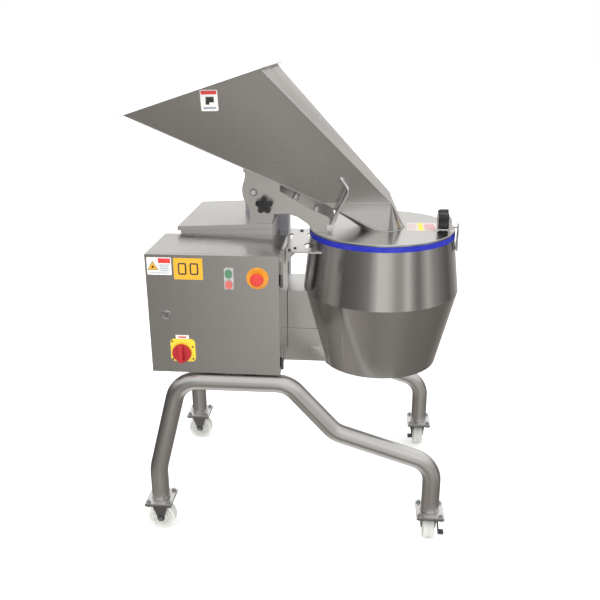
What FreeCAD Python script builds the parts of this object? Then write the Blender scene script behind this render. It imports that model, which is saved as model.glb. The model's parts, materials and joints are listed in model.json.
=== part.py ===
"""Centrifugal vegetable slicer on a wheeled tube frame, as a parametric assembly.

Frame: origin on the floor at the middle of the four legs, +X towards the slicing drum,
+Y away from the operator (the control cabinet faces -Y), +Z up. Millimetres.
"""
import FreeCAD, Part
import math
import os
import Sketcher
from FreeCAD import Placement, Rotation, Vector

doc = FreeCAD.newDocument("VegetableSlicer")

# ---------------------------------------------------------------- driving dimensions

SIZES = (
    # running and assembly clearances
    ("fit_gap", 0.05, "radial play of a pin or shaft in its bore"),
    ("slide_gap", 0.5, "play of a push button in its sleeve"),
    ("body_gap", 1.0, "space between pieces that move past each other"),
    ("bolt_gap", 0.4, "radial play of a bolt in its hole"),
    # tube frame
    ("leg_mid_x", 487, "leg axis from the middle, along X"),
    ("leg_mid_y", 330, "leg axis from the middle, along Y"),
    ("tube_od", 63, "frame tube outside diameter"),
    ("tube_wall", 3, "frame tube wall"),
    ("knee_z", 248, "height where the left legs start to lean in"),
    ("shoulder_x", -393, "left shoulder corner of the tube"),
    ("rail_z", 602, "axis height of the tube's level top run"),
    ("drop_x", -15, "where the tube leaves its level top run"),
    ("dip_x", 148, "corner between the steep and the shallow run"),
    ("dip_z", 423, "height of that corner"),
    ("hip_z", 313, "height of the corner above the right legs"),
    ("bend_radius", 90, "centre line radius of the tube bends"),
    ("knee_radius", 150, "centre line radius of the slight knee bend"),
    ("rail_w", 60, "cross rail width"),
    ("bed_t", 6, "bed plate thickness"),
    # casters
    ("wheel_r", 50, "wheel radius"),
    ("tread_w", 38, "wheel tread width"),
    ("wheel_hub_w", 44, "wheel hub width"),
    ("wheel_axle_r", 6, "wheel axle radius"),
    ("caster_h", 120, "floor to the top of the caster plate"),
    ("caster_plate_x", 96, "caster plate along X"),
    ("caster_plate_y", 104, "caster plate along Y"),
    ("caster_plate_t", 5, "caster plate thickness"),
    ("leg_plate_t", 6, "plate welded under each leg"),
    ("plate_bolt_x", 72, "caster bolt spacing along X"),
    ("plate_bolt_y", 80, "caster bolt spacing along Y"),
    ("plate_bolt_r", 5, "caster bolt radius"),
    ("fork_t", 3, "fork sheet thickness"),
    ("crown_z", 103, "underside of the swivel fork crown"),
    ("trail", 25, "swivel axis to wheel axle"),
    ("king_pin_r", 8, "swivel king pin radius"),
    # control cabinet
    ("cabinet_x", -476, "left side of the cabinet"),
    ("cabinet_w", 437, "cabinet width"),
    ("cabinet_z", 640, "underside of the cabinet"),
    ("cabinet_h", 415, "cabinet height"),
    ("door_front_y", -347, "outer face of the door"),
    ("door_depth", 18, "door pan depth"),
    ("cabinet_back_y", -78, "back of the cabinet"),
    ("sheet_t", 2, "cabinet, roof and cover sheet"),
    ("door_gap", 1.5, "gap between door and cabinet"),
    ("hinge_offset", 6.5, "door hinge axis outside the cabinet side"),
    ("hinge_pin_r", 3, "door hinge pin radius"),
    ("knuckle_r", 5, "door hinge knuckle radius"),
    ("knuckle_h", 42, "height of one hinge knuckle"),
    # drive housing and column
    ("housing_x", -420, "left side of the drive housing"),
    ("housing_right_x", -90, "right side of the drive housing"),
    ("housing_y", -78, "front of the drive housing, against the cabinet"),
    ("housing_back_y", 312, "back of the drive housing"),
    ("housing_t", 3, "drive housing sheet"),
    ("roof_left_z", 1083, "top of the housing at its left side"),
    ("roof_right_z", 1098, "top of the housing at its right side"),
    ("roof_lip", 14, "roof skirt depth"),
    ("roof_over", 7, "roof overhang"),
    ("roof_front_over", 18, "roof overhang at the front"),
    ("column_x", -216, "left side of the main column"),
    ("column_w", 162, "main column width"),
    ("column_y", 108, "front of the main column"),
    ("column_d", 80, "main column depth"),
    ("column_top_z", 1240, "top of the main column"),
    ("column_t", 4, "main column wall"),
    # drum
    ("drum_x", 292, "drum axis"),
    ("drum_rim_r", 255, "drum radius at the rim"),
    ("drum_rim_z", 1062, "top edge of the drum sheet"),
    ("drum_wide_r", 280, "drum radius at the welded seam"),
    ("drum_wide_z", 851, "height of the welded seam"),
    ("drum_low_r", 212, "drum radius at the outlet"),
    ("drum_low_z", 576, "height of the open outlet"),
    ("drum_t", 2.5, "drum sheet"),
    ("gasket_low_z", 1049, "lower edge of the rim gasket"),
    ("gasket_top_z", 1067, "top of the rim gasket"),
    ("gasket_w", 8.5, "rim gasket width"),
    # drive tunnel and beam
    ("tunnel_half", 100, "half width of the drive tunnel"),
    ("tunnel_top_z", 857, "top of the drive tunnel"),
    ("ledge_z", 714, "joint of tunnel and belt case"),
    ("case_half", 106, "half width of the belt case"),
    ("case_low_z", 588, "underside of the belt case"),
    ("case_reach", 96, "belt case past the drum axis"),
    # cradle
    ("cradle_z", 1014, "underside of the cradle plate"),
    ("cradle_t", 6, "cradle plate thickness"),
    ("cradle_half", 162, "half width of the cradle plate"),
    # slicing unit
    ("ring_r", 178, "outer radius of the slicing ring"),
    ("ring_w", 14, "radial width of the ring rims"),
    ("ring_low_z", 905, "underside of the slicing ring"),
    ("ring_h", 100, "slicing ring height"),
    ("rim_h", 10, "height of each ring rim"),
    ("knife_count", 8, "number of knife shoes"),
    ("impeller_r", 160, "impeller radius"),
    ("impeller_t", 6, "impeller disc thickness"),
    ("paddle_count", 6, "number of impeller paddles"),
    ("spindle_r", 20, "spindle radius"),
    ("bearing_r", 40, "bearing outside radius"),
    ("bearing_h", 20, "bearing height"),
    ("pulley_r", 80, "spindle pulley radius"),
    ("motor_pulley_r", 50, "motor pulley radius"),
    ("pulley_z", 668, "middle height of the belts"),
    ("pulley_h", 40, "pulley height"),
    ("motor_x", -290, "motor axis along X"),
    ("motor_y", 0, "motor axis along Y"),
    ("motor_r", 63, "motor body radius"),
    ("motor_h", 240, "motor body height"),
    ("motor_shaft_r", 14, "motor shaft radius"),
    # hinge
    ("pivot_x", -152, "lid hinge axis"),
    ("pivot_z", 1210, "lid hinge axis height"),
    ("ear_mid", 84, "middle plane of each pedestal ear"),
    ("ear_t", 8, "pedestal ear thickness"),
    ("arm_mid", 95, "middle plane of each hinge arm"),
    ("arm_t", 8, "hinge arm thickness"),
    ("shaft_r", 10, "lid hinge shaft radius"),
    ("bush_t", 3, "hinge bush wall"),
    ("clamp_reach", 56, "clamp stud distance from the hinge axis"),
    ("clamp_angle", -47, "clamp stud direction with the lid closed"),
    ("lid_travel", 55, "opening angle of the lid"),
    ("stud_r", 6, "radius of both clamp studs"),
    # lid and hopper
    ("lid_r", 256, "lid radius"),
    ("lid_low_z", 1067.5, "underside of the lid edge"),
    ("lid_top_z", 1074, "top of the lid"),
    ("lid_t", 3, "lid sheet"),
    ("throat_r", 78, "feed throat radius in the lid"),
    ("throat_low_z", 1040, "lower end of the feed throat"),
    ("hopper_t", 2, "hopper sheet"),
    ("seam_z", 1178, "height of the hopper and throat seam"),
    ("seam_left_x", 87, "left edge of the hopper outlet"),
    ("seam_right_x", 319, "right edge of the hopper outlet"),
    ("seam_half", 90, "half width of the hopper outlet at its right"),
    ("mouth_left_x", -548, "low edge of the hopper mouth"),
    ("mouth_left_z", 1477, "height of that edge"),
    ("mouth_right_x", -103, "high edge of the hopper mouth"),
    ("mouth_right_z", 1619, "height of that edge"),
    ("mouth_half", 215, "half width of the hopper mouth"),
    ("mouth_lip", 24, "width of the lip round the mouth"),
    ("handle_r", 6, "lift handle rod radius"),
    # latch
    ("latch_y", -45, "latch stud axis along Y"),
    ("latch_z", 1112, "latch stud axis height"),
    ("lug_x", 520, "inner face of the lid lug"),
    ("lug_t", 5, "lid lug thickness"),
    ("keeper_x", 550, "inner face of the latch keeper"),
    ("knob_r", 37, "star knob radius"),
    ("knob_t", 36, "star knob length"),
    ("hinge_knob_r", 31, "hinge clamp knob radius"),
)

sheet = doc.addObject("Spreadsheet::Sheet", "Sizes")
for row, (alias, value, note) in enumerate(SIZES, start=1):
    sheet.set("A%d" % row, alias)
    sheet.set("B%d" % row, str(value))
    sheet.set("C%d" % row, note)
    sheet.setAlias("B%d" % row, alias)
doc.recompute()


class Size:
    """A number together with the spreadsheet expression that gives it."""

    def __init__(self, value, text):
        self.value = float(value)
        self.text = text

    def __float__(self):
        return self.value

    def _join(self, other, sign, value, swap=False):
        first, second = (text_of(other), self.text) if swap else (self.text, text_of(other))
        return Size(value, "(%s %s %s)" % (first, sign, second))

    def __add__(self, other):
        return self._join(other, "+", self.value + float(other))

    def __radd__(self, other):
        return self._join(other, "+", float(other) + self.value, swap=True)

    def __sub__(self, other):
        return self._join(other, "-", self.value - float(other))

    def __rsub__(self, other):
        return self._join(other, "-", float(other) - self.value, swap=True)

    def __mul__(self, other):
        return self._join(other, "*", self.value * float(other))

    def __rmul__(self, other):
        return self._join(other, "*", float(other) * self.value, swap=True)

    def __truediv__(self, other):
        return self._join(other, "/", self.value / float(other))

    def __neg__(self):
        return Size(-self.value, "(0 - %s)" % self.text)


def text_of(number):
    return number.text if isinstance(number, Size) else "(%.6f)" % float(number)


class Sizes:
    """Gives each spreadsheet alias as an attribute."""

    def __getattr__(self, alias):
        return Size(sheet.get(alias), "Sizes." + alias)


S = Sizes()

# ---------------------------------------------------------------- modelling helpers

NODES = []
AXIS_TURN = {
    "X": Rotation(Vector(0, 1, 0), 90),
    "Y": Rotation(Vector(1, 0, 0), -90),
    "Z": Rotation(),
}


def bind(obj, prop, value):
    """Sets one property, through an expression where the value comes from the sheet."""
    if isinstance(value, Size):
        obj.setExpression(prop, value.text)
    elif prop.startswith("Placement.Base."):
        obj.setExpression(prop, "%.6f" % float(value))
    else:
        setattr(obj, prop, float(value))


def put(obj, x=0, y=0, z=0, turn=None):
    """Places an object; each coordinate follows the sheet."""
    obj.Placement = Placement(Vector(float(x), float(y), float(z)), turn or Rotation())
    for letter, value in zip("xyz", (x, y, z)):
        bind(obj, "Placement.Base." + letter, value)
    return obj


def box(name, x, y, z, dx, dy, dz):
    obj = doc.addObject("Part::Box", name)
    for prop, value in (("Length", dx), ("Width", dy), ("Height", dz)):
        bind(obj, prop, value)
    return put(obj, x, y, z)


def rod(name, radius, length, x, y, z, axis="Z"):
    """A cylinder that starts at x, y, z and runs along the named axis."""
    obj = doc.addObject("Part::Cylinder", name)
    bind(obj, "Radius", radius)
    bind(obj, "Height", length)
    return put(obj, x, y, z, AXIS_TURN[axis])


def cut(name, base, *tools):
    tool = tools[0] if len(tools) == 1 else fuse(name + "_tools", *tools)
    obj = doc.addObject("Part::Cut", name)
    obj.Base = base
    obj.Tool = tool
    return obj


def fuse(name, *parts):
    obj = doc.addObject("Part::MultiFuse", name)
    obj.Shapes = list(parts)
    return obj


def group(name, *parts):
    """Several separate solids of one node."""
    obj = doc.addObject("Part::Compound", name)
    obj.Links = list(parts)
    return obj


def shaped(name, shape, x=0, y=0, z=0):
    """A free shape; its sizes are read from the sheet by the code that makes it."""
    obj = doc.addObject("Part::Feature", name)
    obj.Shape = shape if shape.Placement.isIdentity() else Part.makeCompound([shape])
    return put(obj, x, y, z)


def ring(name, outer, inner, height, x, y, z, axis="Z"):
    """A tube: the bore runs out of both ends."""
    bore_start = {"X": (x - 1, y, z), "Y": (x, y - 1, z), "Z": (x, y, z - 1)}[axis]
    body = rod(name + "_outside", outer, height, x, y, z, axis)
    bore = rod(name + "_bore", inner, height + 2, *bore_start, axis=axis)
    return cut(name, body, bore)


def origin_plane(body, role):
    return next(item for item in body.Origin.OriginFeatures if item.Role == role)


def outline_sketch(body, role, outline, name):
    """A closed outline of straight lines, each corner tied to the sheet."""
    sketch = body.newObject("Sketcher::SketchObject", name)
    sketch.AttachmentSupport = [(origin_plane(body, role), "")]
    sketch.MapMode = "FlatFace"
    corners = [Vector(float(u), float(v), 0) for u, v in outline]
    count = len(corners)
    for index in range(count):
        sketch.addGeometry(Part.LineSegment(corners[index], corners[(index + 1) % count]), False)
    for index in range(count):
        following = (index + 1) % count
        sketch.addConstraint(Sketcher.Constraint("Coincident", index, 2, following, 1))
    for index, (u, v) in enumerate(outline):
        for kind, value, axis in (("DistanceX", u, -2), ("DistanceY", v, -1)):
            if abs(float(value)) < 1e-9:
                sketch.addConstraint(Sketcher.Constraint("PointOnObject", index, 1, axis))
                continue
            number = sketch.addConstraint(Sketcher.Constraint(kind, -1, 1, index, 1, float(value)))
            if isinstance(value, Size):
                sketch.setExpression("Constraints[%d]" % number, value.text)
    return sketch


def padded(name, role, outline, length, x=0, y=0, z=0):
    """A plate with straight edges, thickened along +Y, +Z or +X from its plane."""
    body = doc.addObject("PartDesign::Body", name)
    sketch = outline_sketch(body, role, outline, name + "_outline")
    pad = body.newObject("PartDesign::Pad", name + "_pad")
    pad.Profile = sketch
    pad.Reversed = role == "XZ_Plane"
    bind(pad, "Length", length)
    body.Tip = pad
    return put(body, x, y, z)


def turned(name, outline, x=0, y=0, z=0, turn=None):
    """A turned piece: its (radius, height) outline goes round the Z axis."""
    body = doc.addObject("PartDesign::Body", name)
    sketch = outline_sketch(body, "XZ_Plane", outline, name + "_profile")
    feature = body.newObject("PartDesign::Revolution", name + "_turn")
    feature.Profile = sketch
    feature.ReferenceAxis = (sketch, ["V_Axis"])
    feature.Angle = 360
    body.Tip = feature
    return put(body, x, y, z, turn)


def rounded(name, base, radius, pick):
    """Rounds the edges of base that pick accepts."""
    doc.recompute()
    obj = doc.addObject("Part::Fillet", name)
    obj.Base = base
    chosen = [n for n, edge in enumerate(base.Shape.Edges, start=1) if pick(edge)]
    obj.Edges = [(n, float(radius), float(radius)) for n in chosen]
    return obj


def straight_along(axis):
    """Picks straight edges that run along one axis."""
    def pick(edge):
        if edge.Curve.TypeId != "Part::GeomLine":
            return False
        return abs(edge.tangentAt(edge.FirstParameter).dot(axis)) > 0.999
    return pick


def node(label, obj):
    """Registers one finished sub-part under its own name."""
    obj.Label = label
    NODES.append(obj)
    return obj


def rounded_path(corners, radii):
    """A wire through corners, with a tangent arc of the given radius at each inner one."""
    edges = []
    start = corners[0]
    for before, corner, after, radius in zip(corners, corners[1:], corners[2:], radii):
        towards = (before - corner).normalize()
        away = (after - corner).normalize()
        half = math.acos(max(-1, min(1, towards.dot(away)))) / 2
        reach = radius / math.tan(half)
        first = corner + towards * reach
        last = corner + away * reach
        inward = (towards + away).normalize()
        middle = corner + inward * (radius / math.sin(half) - radius)
        edges.append(Part.LineSegment(start, first).toShape())
        edges.append(Part.Arc(first, middle, last).toShape())
        start = last
    edges.append(Part.LineSegment(start, corners[-1]).toShape())
    return Part.Wire(edges)


def swept_disc(path, radius):
    """A round bar along a wire."""
    start = path.Edges[0]
    direction = start.tangentAt(start.FirstParameter)
    circle = Part.Circle(start.valueAt(start.FirstParameter), direction, radius)
    return path.makePipeShell([Part.Wire([circle.toShape()])], True, True)


def polyhedron(faces):
    """A closed solid from flat faces given as lists of corners."""
    shell = Part.Shell([Part.Face(Part.makePolygon(points + points[:1])) for points in faces])
    solid = Part.Solid(shell)
    if solid.Volume < 0:
        solid.reverse()
    return solid


# ---------------------------------------------------------------- tube frame

leg_bottom_z = S.caster_h + S.leg_plate_t
FRONT, BACK = -S.leg_mid_y, S.leg_mid_y
LEFT, RIGHT = -S.leg_mid_x, S.leg_mid_x


def frame_tube(label, y):
    """One bent tube: left leg, level run under the cabinet, then down to the right leg."""
    corners = [(LEFT, leg_bottom_z), (LEFT, S.knee_z), (S.shoulder_x, S.rail_z),
               (S.drop_x, S.rail_z), (S.dip_x, S.dip_z), (RIGHT, S.hip_z), (RIGHT, leg_bottom_z)]
    radii = [float(S.knee_radius)] + [float(S.bend_radius)] * 4
    path = rounded_path([Vector(float(x), 0, float(z)) for x, z in corners], radii)
    outside = swept_disc(path, float(S.tube_od) / 2)
    inside = swept_disc(path, float(S.tube_od) / 2 - float(S.tube_wall))
    node(label, shaped(label, outside.cut(inside), 0, y, 0))


frame_tube("front_frame_tube", FRONT)
frame_tube("rear_frame_tube", BACK)

tube_top_z = S.rail_z + S.tube_od / 2
bed_top_z = S.cabinet_z
rail_top_z = bed_top_z - S.bed_t


def cross_rail(name, x):
    """A square rail between the two tubes, coped round them."""
    rail = box(name + "_bar", x, FRONT, rail_top_z - S.rail_w, S.rail_w, 2 * S.leg_mid_y, S.rail_w)
    copes = [rod(name + "_cope%d" % side, S.tube_od / 2, S.rail_w + 2, x - 1, y, S.rail_z, "X")
             for side, y in enumerate((FRONT, BACK))]
    return cut(name, rail, *copes)


node("cross_rails", group("cross_rails", cross_rail("left_rail", S.shoulder_x + 80),
                          cross_rail("right_rail", S.housing_right_x - 90)))
node("bed_plate", box("bed_plate", S.housing_x, S.housing_y, rail_top_z,
                      S.housing_right_x - S.housing_x, S.housing_back_y - S.housing_y, S.bed_t))

# ---------------------------------------------------------------- casters

LEGS = {"left_front": (LEFT, FRONT), "left_rear": (LEFT, BACK),
        "right_front": (RIGHT, FRONT), "right_rear": (RIGHT, BACK)}


def bolt_places(x, y):
    return [(x + i * S.plate_bolt_x / 2, y + j * S.plate_bolt_y / 2) for i in (-1, 1) for j in (-1, 1)]


def drilled_plate(name, x, y, z, thickness):
    plate = box(name + "_blank", x - S.caster_plate_x / 2, y - S.caster_plate_y / 2, z,
                S.caster_plate_x, S.caster_plate_y, thickness)
    holes = [rod("%s_hole%d" % (name, n), S.plate_bolt_r + S.bolt_gap, thickness + 2, hx, hy, z - 1)
             for n, (hx, hy) in enumerate(bolt_places(x, y))]
    return cut(name, plate, *holes)


node("leg_plates", group("leg_plates", *[
    drilled_plate("leg_plate_" + name, x, y, S.caster_h, S.leg_plate_t)
    for name, (x, y) in LEGS.items()]))


def plate_bolt(name, x, y):
    """A bolt with its head under the caster plate and its nut above the leg plate."""
    low_z = S.caster_h - S.caster_plate_t
    top_z = S.caster_h + S.leg_plate_t
    shank = rod(name + "_shank", S.plate_bolt_r, top_z - low_z + 12, x, y, low_z - 2)
    head = doc.addObject("Part::Prism", name + "_head")
    nut = doc.addObject("Part::Prism", name + "_nut")
    for prism, z in ((head, low_z - 5), (nut, top_z)):
        prism.Polygon = 6
        bind(prism, "Circumradius", S.plate_bolt_r * 1.8)
        bind(prism, "Height", 5)
        put(prism, x, y, z)
    return fuse(name, shank, head, nut)


node("caster_bolts", group("caster_bolts", *[
    plate_bolt("bolt_%s_%d" % (name, n), bx, by)
    for name, (x, y) in LEGS.items() for n, (bx, by) in enumerate(bolt_places(x, y))]))

plate_low_z = S.caster_h - S.caster_plate_t
fork_inner = S.wheel_hub_w / 2 + S.body_gap


def wheel(label, x, y, axis):
    """A nylon wheel with a groove round its tread and a hub that stands proud."""
    half, hub = S.tread_w / 2, S.wheel_hub_w / 2
    bore = S.wheel_axle_r + S.fit_gap
    profile = [(bore, -hub), (20, -hub), (20, -half + 3), (S.wheel_r - 12, -half + 3),
               (S.wheel_r - 8, -half), (S.wheel_r - 2, -half), (S.wheel_r, -half + 2),
               (S.wheel_r, -1.5), (S.wheel_r - 2, -1.5), (S.wheel_r - 2, 1.5), (S.wheel_r, 1.5),
               (S.wheel_r, half - 2), (S.wheel_r - 2, half), (S.wheel_r - 8, half),
               (S.wheel_r - 12, half - 3), (20, half - 3), (20, hub), (bore, hub)]
    node(label, turned(label, profile, x, y, S.wheel_r, AXIS_TURN[axis]))


def fork_outline(lean):
    """Side of a fork: wide at the crown, narrow round the axle, which sits lean away."""
    return [(-30, S.crown_z), (30, S.crown_z), (lean + 14, S.wheel_r + 8), (lean + 14, S.wheel_r - 6),
            (lean + 7, S.wheel_r - 14), (lean - 7, S.wheel_r - 14), (lean - 14, S.wheel_r - 6),
            (lean - 14, S.wheel_r + 8)]


def rigid_fork(name, x, y):
    """A fixed fork: the wheel axle runs along Y."""
    plate = drilled_plate(name + "_plate", x, y, plate_low_z, S.caster_plate_t)
    sides = [padded(name + "_side%d" % n, "XZ_Plane", fork_outline(0), S.fork_t, x, y + offset, 0)
             for n, offset in enumerate((-fork_inner - S.fork_t, fork_inner))]
    legs = [box(name + "_web%d" % n, x - 30, y + offset, S.crown_z - 0.5, 60, S.fork_t,
                plate_low_z - S.crown_z + 1)
            for n, offset in enumerate((-fork_inner - S.fork_t, fork_inner))]
    reach = fork_inner + S.fork_t + 6
    axle = rod(name + "_axle", S.wheel_axle_r, 2 * reach, x, y - reach, S.wheel_r, "Y")
    heads = [rod(name + "_head%d" % n, S.wheel_axle_r + 4, 4, x, y + offset, S.wheel_r, "Y")
             for n, offset in enumerate((-fork_inner - S.fork_t - 4, fork_inner + S.fork_t))]
    return fuse(name, plate, *sides, *legs, axle, *heads)


node("rigid_casters", group("rigid_casters", rigid_fork("rigid_left_front", *LEGS["left_front"]),
                            rigid_fork("rigid_left_rear", *LEGS["left_rear"])))


def swivel_head(name, x, y):
    """Top plate, ball race and king pin of a swivel caster."""
    plate = drilled_plate(name + "_plate", x, y, plate_low_z, S.caster_plate_t)
    race_low = S.crown_z + S.fork_t + 0.5
    race = rod(name + "_race", 28, plate_low_z - race_low, x, y, race_low)
    pin = rod(name + "_pin", S.king_pin_r, plate_low_z - S.crown_z, x, y, S.crown_z)
    return fuse(name, plate, race, pin)


node("swivel_heads", group("swivel_heads", swivel_head("swivel_front", *LEGS["right_front"]),
                           swivel_head("swivel_rear", *LEGS["right_rear"])))


def swivel_fork(label, x, y):
    """A fork that turns under its plate; the wheel axle runs along X, behind the swivel axis."""
    crown = ring(label + "_crown", 30, S.king_pin_r + S.fit_gap, S.fork_t, x, y, S.crown_z)
    flank_x = fork_inner + S.fork_t
    bridges = [box(label + "_bridge%d" % n, x + start, y - 20, S.crown_z, 12, 40, S.fork_t)
               for n, start in enumerate((-flank_x, flank_x - 12))]
    sides = [padded(label + "_side%d" % n, "YZ_Plane", fork_outline(S.trail), S.fork_t,
                    x + offset, y, 0)
             for n, offset in enumerate((-flank_x, fork_inner))]
    axle = rod(label + "_axle", S.wheel_axle_r, 2 * flank_x + 4, x - flank_x - 2, y + S.trail,
               S.wheel_r, "X")
    blank = fuse(label + "_blank", crown, *bridges, *sides, axle)
    bore = rod(label + "_bore", S.king_pin_r + S.fit_gap, S.fork_t + 2, x, y, S.crown_z - 1)
    pivot_side = BRAKE_SIDE[label]
    pivot_x = x + pivot_side * flank_x
    pivot = rod(label + "_pivot", 4, 8, pivot_x if pivot_side > 0 else pivot_x - 8, y, BRAKE_Z, "X")
    node(label, fuse(label, cut(label + "_bored", blank, bore), pivot))


BRAKE_SIDE = {"right_front_fork": 1, "right_rear_fork": -1}
BRAKE_Z = S.wheel_r + 30


def brake_lever(label, x, y, side):
    """A pressed lever with a foot pad, on a pivot at the outside of the fork."""
    start = fork_inner + S.fork_t + 1
    plate_x = x + start if side > 0 else x - start - 4
    pad_x = x + start if side > 0 else x - start - 20
    outline = [(-10, BRAKE_Z - 8), (10, BRAKE_Z - 8), (10, BRAKE_Z + 8), (-10, BRAKE_Z + 8),
               (-43, BRAKE_Z - 6), (-43, BRAKE_Z - 16)]
    plate = padded(label + "_plate", "YZ_Plane", outline, 4, plate_x, y, 0)
    pad = box(label + "_pad", pad_x, y - 55, BRAKE_Z - 17, 20, 18, 10)
    bore = rod(label + "_bore", 4 + S.fit_gap, 8, plate_x - 2, y, BRAKE_Z, "X")
    node(label, cut(label, fuse(label + "_blank", plate, pad), bore))


for side_name in ("front", "rear"):
    wheel("left_%s_wheel" % side_name, *LEGS["left_" + side_name], "Y")
    fork_label = "right_%s_fork" % side_name
    fork_x, fork_y = LEGS["right_" + side_name]
    swivel_fork(fork_label, fork_x, fork_y)
    wheel("right_%s_wheel" % side_name, fork_x, fork_y + S.trail, "X")
    brake_lever("right_%s_brake" % side_name, fork_x, fork_y, BRAKE_SIDE[fork_label])

# ---------------------------------------------------------------- control cabinet

cabinet_right_x = S.cabinet_x + S.cabinet_w
cabinet_top_z = S.cabinet_z + S.cabinet_h
door_back_y = S.door_front_y + S.door_depth
cabinet_front_y = door_back_y + S.door_gap

cabinet_blank = box("cabinet_outside", S.cabinet_x, cabinet_front_y, S.cabinet_z, S.cabinet_w,
                    S.cabinet_back_y - cabinet_front_y, S.cabinet_h)
cabinet_hollow = box("cabinet_inside", S.cabinet_x + S.sheet_t, cabinet_front_y + S.sheet_t,
                     S.cabinet_z + S.sheet_t, S.cabinet_w - 2 * S.sheet_t,
                     S.cabinet_back_y - cabinet_front_y - 2 * S.sheet_t, S.cabinet_h - 2 * S.sheet_t)
mouth_frame = 22
cabinet_mouth = box("cabinet_mouth", S.cabinet_x + mouth_frame, cabinet_front_y - 1,
                    S.cabinet_z + mouth_frame, S.cabinet_w - 2 * mouth_frame, S.sheet_t + 2,
                    S.cabinet_h - 2 * mouth_frame)
node("control_cabinet", cut("control_cabinet", cabinet_blank, cabinet_hollow, cabinet_mouth))

seal_outside = box("seal_outside", S.cabinet_x + 8, cabinet_front_y - 1, S.cabinet_z + 8,
                   S.cabinet_w - 16, 1, S.cabinet_h - 16)
seal_inside = box("seal_inside", S.cabinet_x + 16, cabinet_front_y - 2, S.cabinet_z + 16,
                  S.cabinet_w - 32, 3, S.cabinet_h - 32)
node("door_seal", cut("door_seal", seal_outside, seal_inside))

panel_y = S.cabinet_back_y - S.sheet_t - 12
switchgear = [box("mounting_panel", S.cabinet_x + 40, panel_y, S.cabinet_z + 40,
                  S.cabinet_w - 80, 3, S.cabinet_h - 80)]
for n in range(2):
    switchgear.append(box("panel_stand%d" % n, S.cabinet_x + 60 + n * (S.cabinet_w - 140), panel_y + 3,
                          S.cabinet_z + 180, 20, 9, 40))
for n, (dx, dz, width, height, depth) in enumerate(
        ((70, 250, 90, 80, 60), (190, 250, 60, 80, 55), (280, 240, 70, 110, 70), (70, 120, 260, 45, 35))):
    switchgear.append(box("device%d" % n, S.cabinet_x + dx, panel_y - depth, S.cabinet_z + dz,
                          width, depth, height))
node("switchgear", fuse("switchgear", *switchgear))

hinge_x = cabinet_right_x + S.hinge_offset
hinge_y = S.door_front_y + 9
HINGE_Z = {"low": S.cabinet_z + 20, "high": cabinet_top_z - 20 - 2 * S.knuckle_h - S.body_gap}


def fixed_knuckle(name, z):
    """Lower half of a door hinge, on the cabinet's side, with the pin standing in it."""
    barrel = rod(name + "_barrel", S.knuckle_r, S.knuckle_h, hinge_x, hinge_y, z)
    pin = rod(name + "_pin", S.hinge_pin_r, 2 * S.knuckle_h + S.body_gap, hinge_x, hinge_y, z)
    leaf = box(name + "_leaf", cabinet_right_x, cabinet_front_y + 1, z, 3, 30, S.knuckle_h)
    web = padded(name + "_web", "XY_Plane",
                 [(cabinet_right_x, cabinet_front_y + 1), (hinge_x, hinge_y + 1), (hinge_x + 3, hinge_y + 3),
                  (cabinet_right_x + 3, cabinet_front_y + 4)], S.knuckle_h, 0, 0, z)
    return fuse(name, barrel, pin, leaf, web)


node("door_hinge_pins", group("door_hinge_pins", *[
    fixed_knuckle("fixed_knuckle_" + name, z) for name, z in HINGE_Z.items()]))


def door_knuckle(name, z):
    """Upper half of a door hinge, welded to the door's edge."""
    low_z = z + S.knuckle_h + S.body_gap
    barrel = rod(name + "_barrel", S.knuckle_r, S.knuckle_h, hinge_x, hinge_y, low_z)
    web = box(name + "_web", cabinet_right_x - 1, hinge_y - 1.5, low_z, S.hinge_offset + 1, 3, S.knuckle_h)
    return fuse(name, barrel, web)


# places on the door, from the cabinet's left side and the floor
BUTTON_X, START_Z, STOP_Z = S.cabinet_x + 275.5, S.cabinet_z + 357, S.cabinet_z + 320
ESTOP_X, ESTOP_Z = S.cabinet_x + 368, S.cabinet_z + 341
ISOLATOR_X, ISOLATOR_Z = S.cabinet_x + 106, S.cabinet_z + 73
LOCK_X, LOCK_Z = S.cabinet_x + 61, S.cabinet_z + 207

# stem radius, and cap radius and height, of each control on the door
BUTTON_STEM_R, BUTTON_CAP_R = 8, 10.5
ESTOP_STEM_R = 9
ISOLATOR_STEM_R, LOCK_STEM_R = 8, 9
SLEEVE_T = 2

door_pan = cut("door_pan",
               box("door_outside", S.cabinet_x, S.door_front_y, S.cabinet_z, S.cabinet_w,
                   S.door_depth, S.cabinet_h),
               box("door_inside", S.cabinet_x + S.sheet_t, S.door_front_y + S.sheet_t,
                   S.cabinet_z + S.sheet_t, S.cabinet_w - 2 * S.sheet_t, S.door_depth,
                   S.cabinet_h - 2 * S.sheet_t))
door_holes = []
for n, (hole_x, hole_z, stem_r) in enumerate((
        (BUTTON_X, START_Z, BUTTON_STEM_R), (BUTTON_X, STOP_Z, BUTTON_STEM_R),
        (ESTOP_X, ESTOP_Z, ESTOP_STEM_R), (ISOLATOR_X, ISOLATOR_Z, ISOLATOR_STEM_R),
        (LOCK_X, LOCK_Z, LOCK_STEM_R))):
    door_holes.append(rod("door_hole%d" % n, stem_r + S.slide_gap, S.sheet_t + 4, hole_x,
                          S.door_front_y - 1, hole_z, "Y"))
for n, z in enumerate(HINGE_Z.values()):
    door_holes.append(rod("door_pin_bore%d" % n, S.hinge_pin_r + S.fit_gap, S.knuckle_h + 4, hinge_x,
                          hinge_y, z + S.knuckle_h + S.body_gap - 2))
node("cabinet_door", cut("cabinet_door", fuse("door_blank", door_pan, *[
    door_knuckle("door_knuckle_" + name, z) for name, z in HINGE_Z.items()]), *door_holes))


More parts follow.
